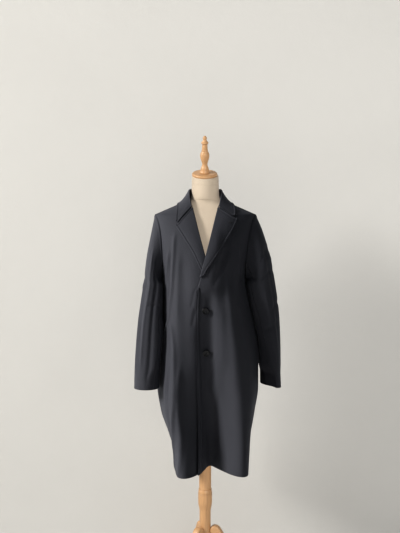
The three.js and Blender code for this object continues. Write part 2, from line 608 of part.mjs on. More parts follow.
const finialRows = [
  { h: 0, r: 0 },
  { h: 0, r: 17.5 },
  { h: 3, r: 17.5 },
  { h: 8, r: 15 },
  { h: 17, r: 13.5 },
  { h: 26, r: 10 },
  { h: 33, r: 9.5 },
  { h: 42, r: 12 },
  { h: 52, r: 15 },
  { h: 61, r: 16 },
  { h: 69, r: 15 },
  { h: 74, r: 12 },
  { h: 79, r: 10.5 },
  { h: 98, r: 9 },
  { h: 101, r: 9.5 },
  { h: 104, r: 12 },
  { h: 108, r: 12 },
  { h: 112, r: 8 },
  { h: 117, r: 6.2 },
  { h: 122, r: 6.8 },
  { h: 127, r: 5.2 },
  { h: 130.5, r: 0 },
];
const postRows = [
  { h: 118, r: 0 },
  { h: 118, r: 12 },
  { h: 124, r: 17 },
  { h: 134, r: POST_RADIUS },
  { h: 284, r: POST_RADIUS },
  { h: 300, r: 22.5 },
  { h: 325, r: 25 },
  { h: 348, r: 25 },
  { h: 360, r: 23.8 },
  { h: POST_TOP_Z, r: 22 },
  { h: POST_TOP_Z, r: 0 },
];

// The side view of a leg, x away from the pole and y up.
function legSide() {
  const inner = POST_RADIUS + 2 * TOUCH;
  const side = new THREE.Shape();
  side.moveTo(inner, 224);
  side.bezierCurveTo(28, 236, 46, 238, 58, 218);
  side.bezierCurveTo(84, 176, 110, 116, 168, 72);
  side.bezierCurveTo(204, 46, 232, 34, 262, 24);
  side.bezierCurveTo(280, 18, 282, 4, 268, 0);
  side.lineTo(234, 0);
  side.bezierCurveTo(216, 12, 186, 18, 150, 46);
  side.bezierCurveTo(106, 80, 92, 118, 58, 136);
  side.bezierCurveTo(44, 143, 30, 145, inner, 146);
  side.closePath();
  return side;
}

function standLeg(turn) {
  const geometry = new THREE.ExtrudeGeometry(legSide(), {
    depth: LEG_THICK,
    steps: 4,
    bevelEnabled: false,
    curveSegments: 6,
  });
  geometry.translate(0, 0, -LEG_THICK / 2).rotateX(Math.PI / 2);
  const p = geometry.attributes.position;
  const inner = POST_RADIUS + 2 * TOUCH;
  for (let k = 0; k < p.count; k++)
    if (Math.abs(p.getX(k) - inner) < 1e-3) p.setX(k, Math.sqrt(inner ** 2 - p.getY(k) ** 2));
  return geometry.rotateZ(degToRad(turn));
}

// ---------- assembly ----------
const assembly = new THREE.Group();
function add(name, geometry, color, roughness = 0.85) {
  const mesh = new THREE.Mesh(geometry, new THREE.MeshStandardMaterial({ color, roughness, metalness: 0 }));
  mesh.name = name;
  assembly.add(mesh);
  return mesh;
}
const CLOTH = 0x24252b;
const JERSEY = 0xe9dfcb;
const WOOD = 0xcfa172;

for (const [name, side] of [["left", 1], ["right", -1]]) {
  add(`front_${name}`, panelWall(FRONT, side, false), CLOTH);
  add(`back_${name}`, panelWall(BACK, side, true), CLOTH);
  add(`lapel_${name}`, wallAbout(lapelGrid(side), COLLAR_WALL), CLOTH);
  add(`sleeve_${name}_top`, sleeveWall(SLEEVE_SEAMS.back - 360, SLEEVE_SEAMS.front, side), CLOTH);
  add(`sleeve_${name}_under`, sleeveWall(SLEEVE_SEAMS.front, SLEEVE_SEAMS.back, side), CLOTH);
}
add("collar", wallAbout(spread(26, -1, 1).map(collarStation), COLLAR_WALL), CLOTH);
for (const button of BUTTONS) add(button.name, buttonOn(button), 0x17171b, 0.4);

add("form_torso", formTorso(), JERSEY);
const capBase = new THREE.Group();
capBase.position.set(CAP_X, NECK_Y, NECK_TOP_Z);
capBase.rotation.x = degToRad(CAP_TILT);
assembly.add(capBase);
const discRows = [
  { h: TOUCH, r: 0 },
  { h: TOUCH, r: CAP_RADIUS - 2 },
  { h: TOUCH + 2, r: CAP_RADIUS },
  { h: TOUCH + CAP_THICK - 3, r: CAP_RADIUS },
  { h: TOUCH + CAP_THICK, r: CAP_RADIUS - 3 },
  { h: TOUCH + CAP_THICK, r: 0 },
];
capBase.add(add("neck_cap", turned(discRows, 32), WOOD, 0.5));
const finial = add("finial", turned(finialRows, 18), WOOD, 0.5);
finial.position.z = TOUCH * 2 + CAP_THICK;
capBase.add(finial);

const poleRows = [
  { h: POST_TOP_Z + TOUCH, r: 0 },
  { h: POST_TOP_Z + TOUCH, r: POLE_RADIUS },
  { h: formRows[0].z - TOUCH, r: POLE_RADIUS },
  { h: formRows[0].z - TOUCH, r: 0 },
];
add("pole", turned(poleRows), WOOD, 0.5);
add("post", turned(postRows), WOOD, 0.5);
for (const [name, turn] of Object.entries(LEG_TURNS)) add(name, standLeg(turn), WOOD, 0.5);

// The part stands with the middle of its box over the origin.
const root = new THREE.Group();
root.add(assembly);
root.updateMatrixWorld(true);
const box = new THREE.Box3().setFromObject(assembly, true);
const middle = box.getCenter(vec());
assembly.position.set(-middle.x, -middle.y, -box.min.z);
export default root;
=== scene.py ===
"""A chesterfield coat worn on a limbless dress form with a turned wooden stand."""

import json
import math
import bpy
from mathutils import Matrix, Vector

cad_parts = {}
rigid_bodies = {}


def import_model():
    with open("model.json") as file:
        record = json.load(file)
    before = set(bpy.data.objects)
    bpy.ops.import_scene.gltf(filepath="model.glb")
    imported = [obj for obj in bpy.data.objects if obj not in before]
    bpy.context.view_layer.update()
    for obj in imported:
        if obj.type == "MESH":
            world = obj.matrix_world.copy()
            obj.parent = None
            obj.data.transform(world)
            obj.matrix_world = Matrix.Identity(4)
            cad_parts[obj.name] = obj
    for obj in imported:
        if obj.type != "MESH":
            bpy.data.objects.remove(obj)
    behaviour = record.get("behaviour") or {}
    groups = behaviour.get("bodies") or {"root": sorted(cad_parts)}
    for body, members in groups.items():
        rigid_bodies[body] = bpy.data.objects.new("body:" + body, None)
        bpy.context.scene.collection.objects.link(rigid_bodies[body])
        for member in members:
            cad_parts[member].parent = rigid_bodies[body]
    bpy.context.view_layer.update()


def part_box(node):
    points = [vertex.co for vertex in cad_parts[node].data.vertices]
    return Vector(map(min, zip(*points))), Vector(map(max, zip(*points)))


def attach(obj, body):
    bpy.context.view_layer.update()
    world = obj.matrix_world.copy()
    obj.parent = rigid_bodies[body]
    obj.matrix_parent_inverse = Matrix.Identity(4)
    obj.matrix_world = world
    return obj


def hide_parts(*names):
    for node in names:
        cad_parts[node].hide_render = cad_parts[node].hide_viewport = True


bl_info = {
    "name": "Chesterfield coat on a dress form",
    "version": (1, 0, 0),
    "blender": (4, 5, 0),
    "location": "3D View > Sidebar > Coat",
    "description": "Makes the cloth, buttons, sewing, dress form and stand of a long coat",
    "category": "Add Mesh",
}

import bmesh
import bpy
import numpy as np
from mathutils import Matrix, Vector

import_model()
POLE_LOW, POLE_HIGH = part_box("pole")

# Sizes are in millimetres about the pole's axis, with +Z up, the coat's front towards -Y and the
# wearer's left towards +X. placed() takes them to the frame, in metres.
WALL = 2
COLLAR_WALL = 2.2
FRONT_GAP = 2
SEAM_GAP = 0.4
LAYER_GAP = 1.5
HEM_Z = 457
CUFF_Z = 750
UNDERARM_Z = 1130
TIP_Z = 1351
NECK_Z = 1401
BREAK_Z = 1092
OVERLAP = 29
EDGE_DRIFT = 2
EDGE_SHIFT = 4
NECK_RADIUS = 49
NECK_Y = 8
NECK_TOP_Z = 1486
POLE_RADIUS = 21.5
POST_RADIUS = 20
LEG_THICK = 26
HEM_STITCH = 11
EDGE_STITCH = 7
LAPEL_STITCH = 6
LAPEL_BOW = 2.2


def placed(points):
    """Points in millimetres about the pole, as metres in the frame."""
    shift = (POLE_LOW + POLE_HIGH) / 2
    return np.asarray(points, float) / 1000 + np.array([shift.x, shift.y, 0])


# ---------- tables and curves ----------
def table(columns, *rows):
    """Named columns from rows of numbers."""
    return dict(zip(columns.split(), np.array(rows, float).T))


def lerp(a, b, t):
    return a + (b - a) * t


def smooth(t):
    t = np.clip(t, 0, 1)
    return t * t * (3 - 2 * t)


def bell(distance, width):
    return np.exp(-((distance / width) ** 2))


def row_at(columns, place, key="z"):
    """The row of a table at places along its key column, by monotone cubics through its rows."""
    keys = columns[key]
    at = np.clip(place, keys[0], keys[-1])
    i = np.clip(np.searchsorted(keys, at, side="right") - 1, 0, len(keys) - 2)
    step = keys[i + 1] - keys[i]
    t = (at - keys[i]) / step
    found = {}
    for name, values in columns.items():
        rise = np.diff(values) / np.diff(keys)
        before, after = rise[:-1], rise[1:]
        level = before * after <= 0
        inner = np.where(level, 0, 2 * before * after / np.where(level, 1, before + after))
        slope = np.concatenate([rise[:1], inner, rise[-1:]])
        bend = t * (1 - t) ** 2 * slope[i] - t * t * (1 - t) * slope[i + 1]
        found[name] = lerp(values[i], values[i + 1], t * t * (3 - 2 * t)) + step * bend
    return found


def sine_cosine(degrees):
    return np.sin(np.radians(degrees)), np.cos(np.radians(degrees))


def numbered_row(columns, k):
    return {name: values[k] for name, values in columns.items()}


def catmull_rom(a, b, c, d, t):
    """The curve from b to c, a share t of the way, with a before and d after them."""
    return (
        b * (2 * t**3 - 3 * t**2 + 1)
        + (c - a) / 2 * (t**3 - 2 * t**2 + t)
        + c * (3 * t**2 - 2 * t**3)
        + (d - b) / 2 * (t**3 - t**2)
    )


def unit(vectors):
    return vectors / np.linalg.norm(vectors, axis=-1, keepdims=True)


def vec(x, y, z):
    return np.stack(np.broadcast_arrays(x, y, z), axis=-1).astype(float)


# ---------- the body of the coat ----------
BODY = table(
    "z right left front back ridge square",
    (HEM_Z, 109, 147, -130, 152, 4, 3),
    (510, 112, 153, -129, 148, 4, 2.9),
    (580, 131, 164, -128, 144, 3, 2.6),
    (660, 158, 177, -129, 139, 2, 2.4),
    (740, 168, 188, -131, 135, 0, 2.3),
    (830, 160, 188, -132, 130, 0, 2.2),
    (920, 149, 178, -132, 124, 0, 2.2),
    (1000, 145, 161, -131, 119, 0, 2.2),
    (1090, 143, 143, -130, 115, 0, 2.2),
    (1130, 147, 140, -128, 114, 1, 2.2),
    (1187, 155, 147, -123, 112, 3, 2.2),
    (1240, 162, 157, -112, 108, 4, 2.2),
    (1310, 170, 170, -86, 97, 6, 2.2),
    (TIP_Z, 175, 175, -62, 82, 6, 2.2),
)
SHOULDER = table(
    "z half front back",
    (TIP_Z, 175, -62, 82),
    (1393, 79, -43, 66),
    (NECK_Z + 3, 59, -38, 63),
)


def section(z, side):
    """The coat's half width and depths at heights, on the side that is below 0 for the wearer's right."""
    row = row_at(BODY, z)
    row["half"] = np.where(side < 0, row["right"], row["left"])
    for name in ("half", "front", "back"):
        row[name] = np.where(z > TIP_Z, np.interp(z, SHOULDER["z"], SHOULDER[name]), row[name])
    return row


# Hanging folds: each runs from its top to the hem along a bearing in degrees from the front towards the
# wearer's left, and moves the cloth out by its depth, or in where that is negative.
FOLDS = table(
    "top_z top_bearing hem_bearing top_width hem_width depth power",
    (1085, -2, 11, 15, 21, -92, 1.4),
    (1150, -42, -34, 15, 17, 44, 1),
    (1180, 36, 43, 16, 16, 58, 1),
    (880, -64, -70, 9, 10, -5, 0.7),
    (980, 66, 78, 8, 11, -7, 0.7),
    (1150, -140, -132, 12, 13, 15, 0.9),
    (1120, -162, -157, 10, 12, -19, 1),
    (1120, 158, 153, 10, 12, -22, 1),
    (1150, 138, 130, 12, 13, 13, 0.9),
)
FOLD_SIDEWAYS = 0.6


def bearing_away(bearing, other):
    return (bearing - other + 540) % 360 - 180


def fold_depth(bearing, z):
    depth = 0
    for k in range(len(FOLDS["depth"])):
        fold = numbered_row(FOLDS, k)
        t = np.clip((fold["top_z"] - z) / (fold["top_z"] - HEM_Z), 0, 1)
        away = bearing_away(bearing, lerp(fold["top_bearing"], fold["hem_bearing"], t))
        width = lerp(fold["top_width"], fold["hem_width"], t)
        depth = depth + fold["depth"] * t ** fold["power"] * smooth(t * 5) * bell(away, width)
    return depth


def super_point(turn, square):
    """Where a superellipse lies at a turn, as shares of its half width and of its depth."""
    sine, cosine = sine_cosine(turn)
    reach = (np.abs(sine) ** square + np.abs(cosine) ** square) ** (-1 / square)
    return reach * sine, reach * cosine


def other_share(share, square):
    return (1 - np.clip(np.abs(share), 0, 1) ** square) ** (1 / square)


HEM_RISE = 9


def hem_height(turn):
    """The hem rides up a little in the front valley."""
    return HEM_Z + HEM_RISE * bell(turn - FOLDS["hem_bearing"][0], FOLDS["hem_width"][0])


def body_point(turn, z):
    """The coat's outer surface at turns round the section, in degrees from the front, and heights."""
    sine, cosine = sine_cosine(turn)
    s = section(z, sine)
    across, ahead = super_point(turn, s["square"])
    fold = fold_depth(turn, z)
    depth = np.where(ahead > 0, s["ridge"] - s["front"], s["back"] - s["ridge"])
    x = across * s["half"] + FOLD_SIDEWAYS * fold * sine
    return vec(x, s["ridge"] - ahead * depth - fold * cosine, z)


def body_normal(turn, z):
    around = body_point(turn + 0.6, z) - body_point(turn - 0.6, z)
    up = body_point(turn, z + 1.2) - body_point(turn, z - 1.2)
    return unit(np.cross(around, up))


def lifted(turn, z, lift):
    return body_point(turn, z) + body_normal(turn, z) * np.asarray(lift)[..., None]


def turn_at_x(x, z, back=False):
    """The turn at which the section, its folds left out, reaches an x."""
    side = np.where(x < 0, -1, 1)
    s = section(z, side)
    across = np.clip(np.abs(x) / s["half"], 0, 1)
    turn = np.degrees(np.arctan2(across, other_share(across, s["square"])))
    return side * np.where(back, 180 - turn, turn)


def share_ahead(y, s):
    """How far a y lies from a section's ridge, as a share of the depth on that side."""
    depth = np.where(y <= s["ridge"], s["ridge"] - s["front"], s["back"] - s["ridge"])
    return np.abs(y - s["ridge"]) / depth


def turn_at_y(y, z, side):
    s = section(z, side)
    ahead = share_ahead(y, s)
    turn = np.degrees(np.arctan2(other_share(ahead, s["square"]), ahead))
    return side * np.where(y <= s["ridge"], turn, 180 - turn)


ARMHOLE_FRONT = 52
ARMHOLE_BACK = 68


def armhole(angle, side):
    """The armhole: 0 degrees is the shoulder tip, 90 the front, 180 under the arm and 270 the back."""
    sine, cosine = sine_cosine(angle)
    z = lerp(UNDERARM_Z, TIP_Z, (1 + cosine) / 2)
    reach = np.where(sine > 0, ARMHOLE_FRONT, ARMHOLE_BACK)
    return turn_at_y(section(z, side)["ridge"] - reach * sine, z, side), z


# ---------- creases ----------
# Each crease is a soft ridge, or a trough where its depth is negative. Its row says the face, the depth, the
# width and the fade at its ends, then heights and places: an x on the front or the back, a bearing round the
# sides.
CREASES = (
    # on the wearer's right front
    ("front", 2.6, 6, 40, (1065, -143), (1109, -137), (1173, -131), (1245, -122)),
    (
        "front", 4.2, 6, 45,
        (815, -144), (885, -146), (936, -141), (997, -124), (1109, -113), (1213, -108), (1300, -104),
    ),
    ("front", -2.2, 6, 40, (1040, -131), (1120, -124), (1225, -116)),
    ("front", 4.6, 6.5, 40, (440, -105), (640, -102), (730, -100), (885, -101), (943, -106), (1006, -120)),
    ("front", -2.4, 11, 40, (700, -118), (830, -120), (960, -122)),
    ("front", -4, 24, 110, (560, -62), (760, -66), (980, -70), (1130, -74), (1260, -72)),
    ("front", 1.8, 9, 50, (980, -92), (1080, -94), (1230, -88)),
    ("front", -4.5, 7, 18, (942, -138), (962, -144), (992, -156)),
    ("front", -1.6, 7, 22, (965, -46), (1000, -40), (1040, -32)),
    ("front", -1.3, 6, 20, (1030, -50), (1075, -42), (1110, -31)),
    ("front", 4.4, 9, 60, (440, -80), (640, -81), (850, -84)),
    ("front", -2.6, 8, 60, (440, -116), (640, -113), (850, -116)),
    # on the wearer's left front
    ("front", 3.6, 14, 90, (440, 108), (595, 108), (685, 104), (823, 95), (963, 86), (1065, 80), (1150, 76)),
    ("front", 2.4, 12, 60, (800, 62), (930, 60), (1060, 56)),
    ("front", -2, 7, 30, (655, 42), (730, 27), (785, 8)),
    ("front", -2.2, 12, 80, (640, 128), (820, 124), (1000, 112), (1130, 104)),
    ("front", 2, 9, 60, (1080, 104), (1180, 110), (1290, 112)),
    ("front", -2.2, 8, 40, (1090, 118), (1170, 122), (1240, 128)),
    ("front", 1.4, 9, 50, (520, 60), (620, 62), (740, 58)),
    ("front", -1.4, 9, 40, (1130, 50), (1190, 62), (1260, 78)),
    ("front", -4.5, 12, 60, (1095, 28), (1140, 38), (1180, 52), (1250, 80)),
    ("front", -6, 17, 70, (740, 20), (900, 18), (1040, 16), (1112, 10)),
    ("front", -4, 14, 80, (440, 50), (600, 50), (760, 44)),
    ("front", -5, 42, 70, (860, 0), (1000, 1), (1112, 2)),
    # round the sides
    ("round", 2, 9, 60, (620, -96), (800, -92), (980, -84)),
    ("round", -2.4, 10, 60, (520, -108), (720, -112), (900, -118)),
    ("round", 2.2, 10, 60, (560, 104), (760, 100), (960, 88)),
    ("round", -2.6, 9, 60, (500, 118), (700, 114), (920, 112)),
    # on the back
    ("back", 3, 10, 60, (480, -92), (760, -84), (1010, -66), (1150, -60)),
    ("back", -3, 12, 70, (520, -58), (760, -52), (960, -40)),
    ("back", -2.6, 10, 60, (700, 30), (900, 34), (1090, 28)),
    ("back", 3.2, 10, 60, (470, 96), (700, 88), (960, 72), (1130, 70)),
    ("back", -2.4, 9, 45, (1120, -118), (1190, -104), (1290, -92)),
    ("back", -2.6, 9, 45, (1110, 116), (1200, 100), (1300, 94)),
    ("back", 2.2, 9, 35, (1090, 128), (1140, 120), (1230, 106)),
    ("back", 2, 9, 35, (1080, -126), (1150, -118), (1240, -108)),
    ("back", -1.8, 12, 40, (1240, -34), (1300, -20), (1350, -6)),
)
DEGREE = 2.6  # millimetres of cloth to a degree of bearing


def creased(turn, z):
    """How far the creases move the cloth out."""
    move = np.zeros(np.broadcast(turn, z).shape)
    for face, depth, width, fade, *rows in CREASES:
        heights, places = np.array(rows, float).T
        bearings = places if face == "round" else turn_at_x(places, heights, face == "back")
        middle = row_at({"z": heights, "bearing": bearings}, z)["bearing"]
        lean = (bearings[-1] - bearings[0]) * DEGREE / (heights[-1] - heights[0])
        away = bearing_away(turn, middle) * DEGREE / math.hypot(1, lean)
        ends = smooth((z - heights[0]) / fade) * smooth((heights[-1] - z) / fade)
        move += depth * bell(away, width) * ends
    return move


CREASING = 1.25
SIDE_SWELL = 4.5


def swollen(turn, z):
    """How far the sides stand out where the sleeves hang against them."""
    low = np.where(turn < 0, 960, 810)
    beside = bell(np.abs(bearing_away(turn, 0)) - 88, 17)
    return SIDE_SWELL * beside * smooth((z - low) / 50) * smooth((1118 - z) / 40)


def rippled(across, along, height):
    """The slight unevenness of cloth that hangs, over places in millimetres."""
    wide = np.sin(across / 31 + 0.7 * np.sin(along / 83)) * np.sin(along / 117 + across / 71)
    small = np.sin(across / 13.7 + along / 57) * np.sin(along / 41 - across / 29)
    return height * (0.7 * wide + 0.3 * small)


# ---------- fronts and backs ----------
ROLL = table(
    "z left right",
    (BREAK_Z, -OVERLAP, OVERLAP),
    (1140, -16, 14),
    (1208, 2.5, -3),
    (1290, 24, -25),
    (1345, 38, -39),
    (1374, 46, -47),
)
GORGE_Z = ROLL["z"][-1]


def roll_x(z, side):
    return row_at(ROLL, z)["left" if side > 0 else "right"]


def edge_x(z, side):
    shift = EDGE_SHIFT * smooth((BREAK_Z - z) / 60)
    return EDGE_DRIFT * (BREAK_Z - z) / (BREAK_Z - HEM_Z) - side * OVERLAP - shift


def front_lift(x, z, side):
    """How far the wearer's left front stands off the body where it lies on the right front and its lapel."""
    if side < 0:
        return np.zeros(np.broadcast(x, z).shape)
    on_lapel = (COLLAR_WALL + LAYER_GAP) * smooth((z - 1070) / 30)
    return (WALL + FRONT_GAP + on_lapel) * smooth((1340 - z) / 120) * smooth((OVERLAP + 40 - x) / 36)


FRONT = {"gorge": 0.32, "neck": 0.42, "tip": 0.7, "spans": (44, 12, 24, 40), "rows": 190}
BACK = {"gorge": 0, "neck": 0.34, "tip": 0.66, "spans": (0, 34, 30, 40), "rows": 170}
EDGE_STEPS = (0, 0.3, 0.9, 1.8, 3, 4.4, 5.6, 6.4, 7, 7.6, 8.6, 10.4, 13)
HEM_STEPS = (0, 0.3, 0.9, 1.8, 3.4, 5.5, 8, 10, 11, 12, 14, 17)
# The cloth turned inside at a hem and at a front edge: how far from the rim, and how far in.
TURN_UP = ((26, -1.9), (14, -1.9), (4, -1.9), (1.3, -1.8), (0.4, -1.4), (0, -0.95), (0.2, -0.4))
EDGE_TURN = ((18, -1.9), (9, -1.9), (2.5, -1.9), (0.9, -1.7), (0.2, -1.2), (0, -0.6))
RIM_STEPS = (0, 0.5, 1.2, 2.2, 3.6, 5, 6, 7)
# What the steps from a rim are shared out over, in millimetres.
FRONT_WIDE = 400
PANEL_HIGH = 900


def panel_top(u, panel, side, back):
    """Where a panel's columns end: on the roll line, at the neck, on the shoulder seam and at the armhole."""
    neck_half = section(NECK_Z, side)["half"]
    gorge_z = lerp(BREAK_Z, GORGE_Z, u / panel["gorge"]) if panel["gorge"] else np.full_like(u, NECK_Z)
    t = (u - panel["gorge"]) / (panel["neck"] - panel["gorge"])
    if back:
        neck_z, neck_x = np.full_like(u, NECK_Z), side * neck_half * np.sin(t * math.pi / 2)
    else:
        neck_z, neck_x = lerp(GORGE_Z, NECK_Z, t), lerp(roll_x(GORGE_Z, side), side * neck_half, t)
    seam_z = lerp(NECK_Z, TIP_Z, (u - panel["neck"]) / (panel["tip"] - panel["neck"]))
    arm = 180 * np.clip((u - panel["tip"]) / (1 - panel["tip"]), 0, 1)
    arm_turn, arm_z = armhole(360 - arm if back else arm, side)
    where = [u < panel["gorge"], u < panel["neck"], u < panel["tip"]]
    z = np.select(where, [gorge_z, neck_z, seam_z], arm_z)
    x = np.select(where, [roll_x(gorge_z, side), neck_x, side * section(seam_z, side)["half"]], 0)
    return x, z, arm_turn


HANG_Z = 960
EDGE_CURL = 3.6


def panel_place(u, v, panel, side, back):
    """Turn and height on a panel, v of the way up its column u."""
    top_x, top_z, top_turn = panel_top(u, panel, side, back)
    level = lerp(HEM_Z, top_z, v)
    closed = np.minimum(level, BREAK_Z)
    start = side * 180 if back else turn_at_x(edge_x(closed, side), level)
    low = lerp(start, side * 90, u)
    z = lerp(hem_height(low), top_z, v)
    rise = np.clip((z - HANG_Z) / (top_z - HANG_Z), 0, 1) ** 2.5
    s = section(z, np.sin(np.radians(low)))
    x = np.clip(lerp(s["half"] * super_point(low, s["square"])[0], top_x, rise), -s["half"], s["half"])
    turn = turn_at_x(x, z, back)
    if back:
        turn = np.where(np.abs(x) < 1e-6, side * 180, turn)
    return np.where(u >= panel["tip"], lerp(low, top_turn, rise), turn), z


def stepped(count, first=(), size=1, last=()):
    """Even steps from 0 to 1, with closer ones in millimetres at either end of a size."""
    low, high = np.array(first) / size, 1 - np.array(last)[::-1] / size
    inner = np.linspace(0, 1, count + 1)
    above = low[-1] + 0.3 / count if first else -1
    below = high[0] - 0.3 / count if last else 2
    return np.concatenate([low, inner[(inner > above) & (inner < below)], high])


def panel_surface(name):
    """A front's or back's outer surface as a grid of points, with what it needs to be sewn."""
    back, side = name.startswith("back"), 1 if name.endswith("left") else -1
    panel = BACK if back else FRONT
    stops = (0, panel["gorge"], panel["neck"], panel["tip"], 1)
    spans = [(low, high, n) for low, high, n in zip(stops, stops[1:], panel["spans"]) if n]
    columns = np.concatenate([*(np.linspace(*span, endpoint=False) for span in spans), [0.997, 1]])
    edge = np.zeros_like(columns)
    if not back:
        close = np.array(EDGE_STEPS) / FRONT_WIDE
        columns = np.concatenate([close, columns[columns > close[-1] + 0.004]])
        folded = np.array(EDGE_TURN)
        edge = np.concatenate([folded[:, 1], np.zeros(len(columns))])
        columns = np.concatenate([folded[:, 0] / FRONT_WIDE, columns])
    height = 1 - (1 - stepped(panel["rows"])) ** 1.25
    close = np.array(HEM_STEPS) / PANEL_HIGH
    last = 1 - np.array([1.6, 0.7, 0]) / PANEL_HIGH
    height = np.concatenate([close, height[height > close[-1] + 0.003][:-1], last])
    turned = np.array(TURN_UP)
    up = np.concatenate([turned[:, 1], np.zeros(len(height))])
    height = np.concatenate([turned[:, 0] / PANEL_HIGH, height])
    u, v = np.meshgrid(columns, height)
    turn, z = panel_place(u, v, panel, side, back)
    base = body_point(turn, z)
    from_edge, from_hem, from_top, from_seam = margins(base, len(turned), 0 if back else 6)
    under = np.minimum(up[:, None], edge[None, :])
    lift = under + (0 if back else front_lift(base[..., 0], z, side))
    lift = lift + CREASING * creased(turn, z) * smooth(from_top / 30) + swollen(turn, z)
    lift = lift + rippled(turn * DEGREE, z, 0.9) * smooth(from_top / 40)
    lift = lift - 0.3 * bell(from_hem - HEM_STITCH, 1.4) - 0.8 * np.exp(-from_seam / 1.3)
    above = smooth((z - BREAK_Z - 4) / 6)
    lift = lift - above * 1.5 * np.exp(-from_top / 2.6)
    if back:
        lift = lift - 0.8 * np.exp(-from_edge / 1.3)
    else:
        free = smooth((BREAK_Z + 30 - z) / 40)
        curl = EDGE_CURL if side > 0 else 0
        lift = lift + free * (curl * bell(from_edge, 8) - 0.5 * bell(from_edge - EDGE_STITCH, 1.3))
    return base + body_normal(turn, z) * lift[..., None]


def margins(grid, first_row=0, first_column=0):
    """Distances along the cloth from a grid's first column, first row, last row and last column."""
    across = np.linalg.norm(np.diff(grid, axis=1), axis=-1)
    along = np.linalg.norm(np.diff(grid, axis=0), axis=-1)
    across[:, :first_column] = 0
    along[:first_row] = 0
    run = np.pad(np.cumsum(across, axis=1), ((0, 0), (1, 0)))
    rise = np.pad(np.cumsum(along, axis=0), ((1, 0), (0, 0)))
    return run, rise, rise[-1:] - rise, run[:, -1:] - run


# ---------- lapels and collar ----------
FOLD_RADIUS = LAYER_GAP / 2 + COLLAR_WALL / 2
LAPEL_EDGE = {
    1: table(
        "v x z",
        (0, -5, 1150), (0.12, 6, 1169), (0.4, 42, 1222), (0.75, 84, 1286), (0.92, 102, 1319), (1, 109, 1336),
    ),
    -1: table(
        "v x z",
        (0, 8, 1134), (0.18, -14, 1164), (0.45, -42, 1222), (0.75, -73, 1271), (1, -101, 1314),
    ),
}
NOTCH = {1: (91, 1343), -1: (-91, 1321)}
NOTCH_AT = 0.8
# How far the collar's front end is drawn to the notch, in x and z.
COLLAR_PULL = {1: (3.7, -10), -1: (-3, -15)}


def on_body(x, z):
    return lifted(turn_at_x(x, z), z, 0)


def on_front(x, z, lift, side):
    return lifted(turn_at_x(x, z), z, front_lift(x, z, side) + lift)


def lapel_surface(name):
    """The middle of a lapel's cloth, from where it leaves the front, over its roll and out to its edge."""
    side = 1 if name.endswith("left") else -1
    outer_rows = LAPEL_EDGE[side]
    v = stepped(64, (0, 0.7, 1.8, 3.2), 300, (*RIM_STEPS, 8))
    u = np.concatenate([np.linspace(0.06, 0.9, 30), 1 - np.array(RIM_STEPS[::-1]) / 75])
    foot = {"x": outer_rows["x"][0], "z": outer_rows["z"][0]}
    roll_z = lerp(foot["z"] - 8, GORGE_Z - 1.5, v)
    across = roll_x(roll_z, side)
    outer = row_at(outer_rows, v, "v")
    bent = smooth((v - 0.7) / 0.3)
    tip_x, tip_z = outer_rows["x"][-1], outer_rows["z"][-1]
    kink_x = bent * (NOTCH[side][0] - lerp(roll_x(GORGE_Z, side), tip_x, NOTCH_AT))
    kink_z = bent * (NOTCH[side][1] - lerp(GORGE_Z, tip_z, NOTCH_AT))
    near = np.where(u < NOTCH_AT, u / NOTCH_AT, (1 - u) / (1 - NOTCH_AT))
    x = lerp(across[:, None], outer["x"][:, None], u) + kink_x[:, None] * near
    z = lerp(roll_z[:, None], outer["z"][:, None], u) + kink_z[:, None] * near
    flat = on_front(x, z, LAYER_GAP + COLLAR_WALL / 2, side)
    bow = LAPEL_BOW * np.sin(np.pi * u) * smooth(v * 3)[:, None]
    flat = flat + body_normal(turn_at_x(x, z), z) * bow[..., None]
    edge = on_front(across, roll_z, 0, side)
    along = on_front(roll_x(roll_z + 2, side), roll_z + 2, 0, side) - edge
    normal = body_normal(turn_at_x(across, roll_z), roll_z)
    out = unit(np.cross(along, normal))
    out *= np.where(np.sum(out * (flat[:, 0] - edge), axis=-1) < 0, -1, 1)[:, None]
    centre = edge + normal * LAYER_GAP / 2
    angles = np.radians(np.linspace(0, 180, 13))
    bend = centre[:, None] - out[:, None] * (2 * SEAM_GAP + FOLD_RADIUS * np.sin(angles))[None, :, None]
    bend = bend - normal[:, None] * (FOLD_RADIUS * np.cos(angles))[None, :, None]
    return rolled_rims(np.concatenate([bend, flat], axis=1))


def rolled_rims(grid):
    """Lapel and collar cloth with its free rims pressed thin and a soft channel beside them."""
    _, from_foot, from_top, from_outer = margins(grid)
    normal = unit(np.cross(np.gradient(grid, axis=1), np.gradient(grid, axis=0)))
    outwards = np.sign(np.sum(normal * (grid - np.array([0, NECK_Y, 1300])), axis=-1).mean())
    move = np.zeros(grid.shape[:2])
    for distance in (from_outer, from_top, from_foot):
        move += 1.1 * bell(distance - 2, 3.2) - 0.55 * bell(distance - LAPEL_STITCH, 1.4)
    return grid + normal * (outwards * move)[..., None]


COLLAR = table(
    "s roll_x roll_y roll_z left_x left_z right_x right_z",
    (0, 0, 61, 1436, 0, 1382, 0, 1382),
    (0.2, 28, 54.5, 1436, 37, 1382, 37, 1382),
    (0.4, 47, 36, 1436, 74, 1383, 74, 1383),
    (0.6, 54, 8, 1434, 94, 1386, 95, 1386),
    (0.76, 54, -16, 1421, 100, 1375, 98, 1369),
    (0.9, 51, -36, 1398, 102, 1361, 100, 1346),
    (1, 46.3, -47, 1377, 101, 1348.5, 101, 1327),
)


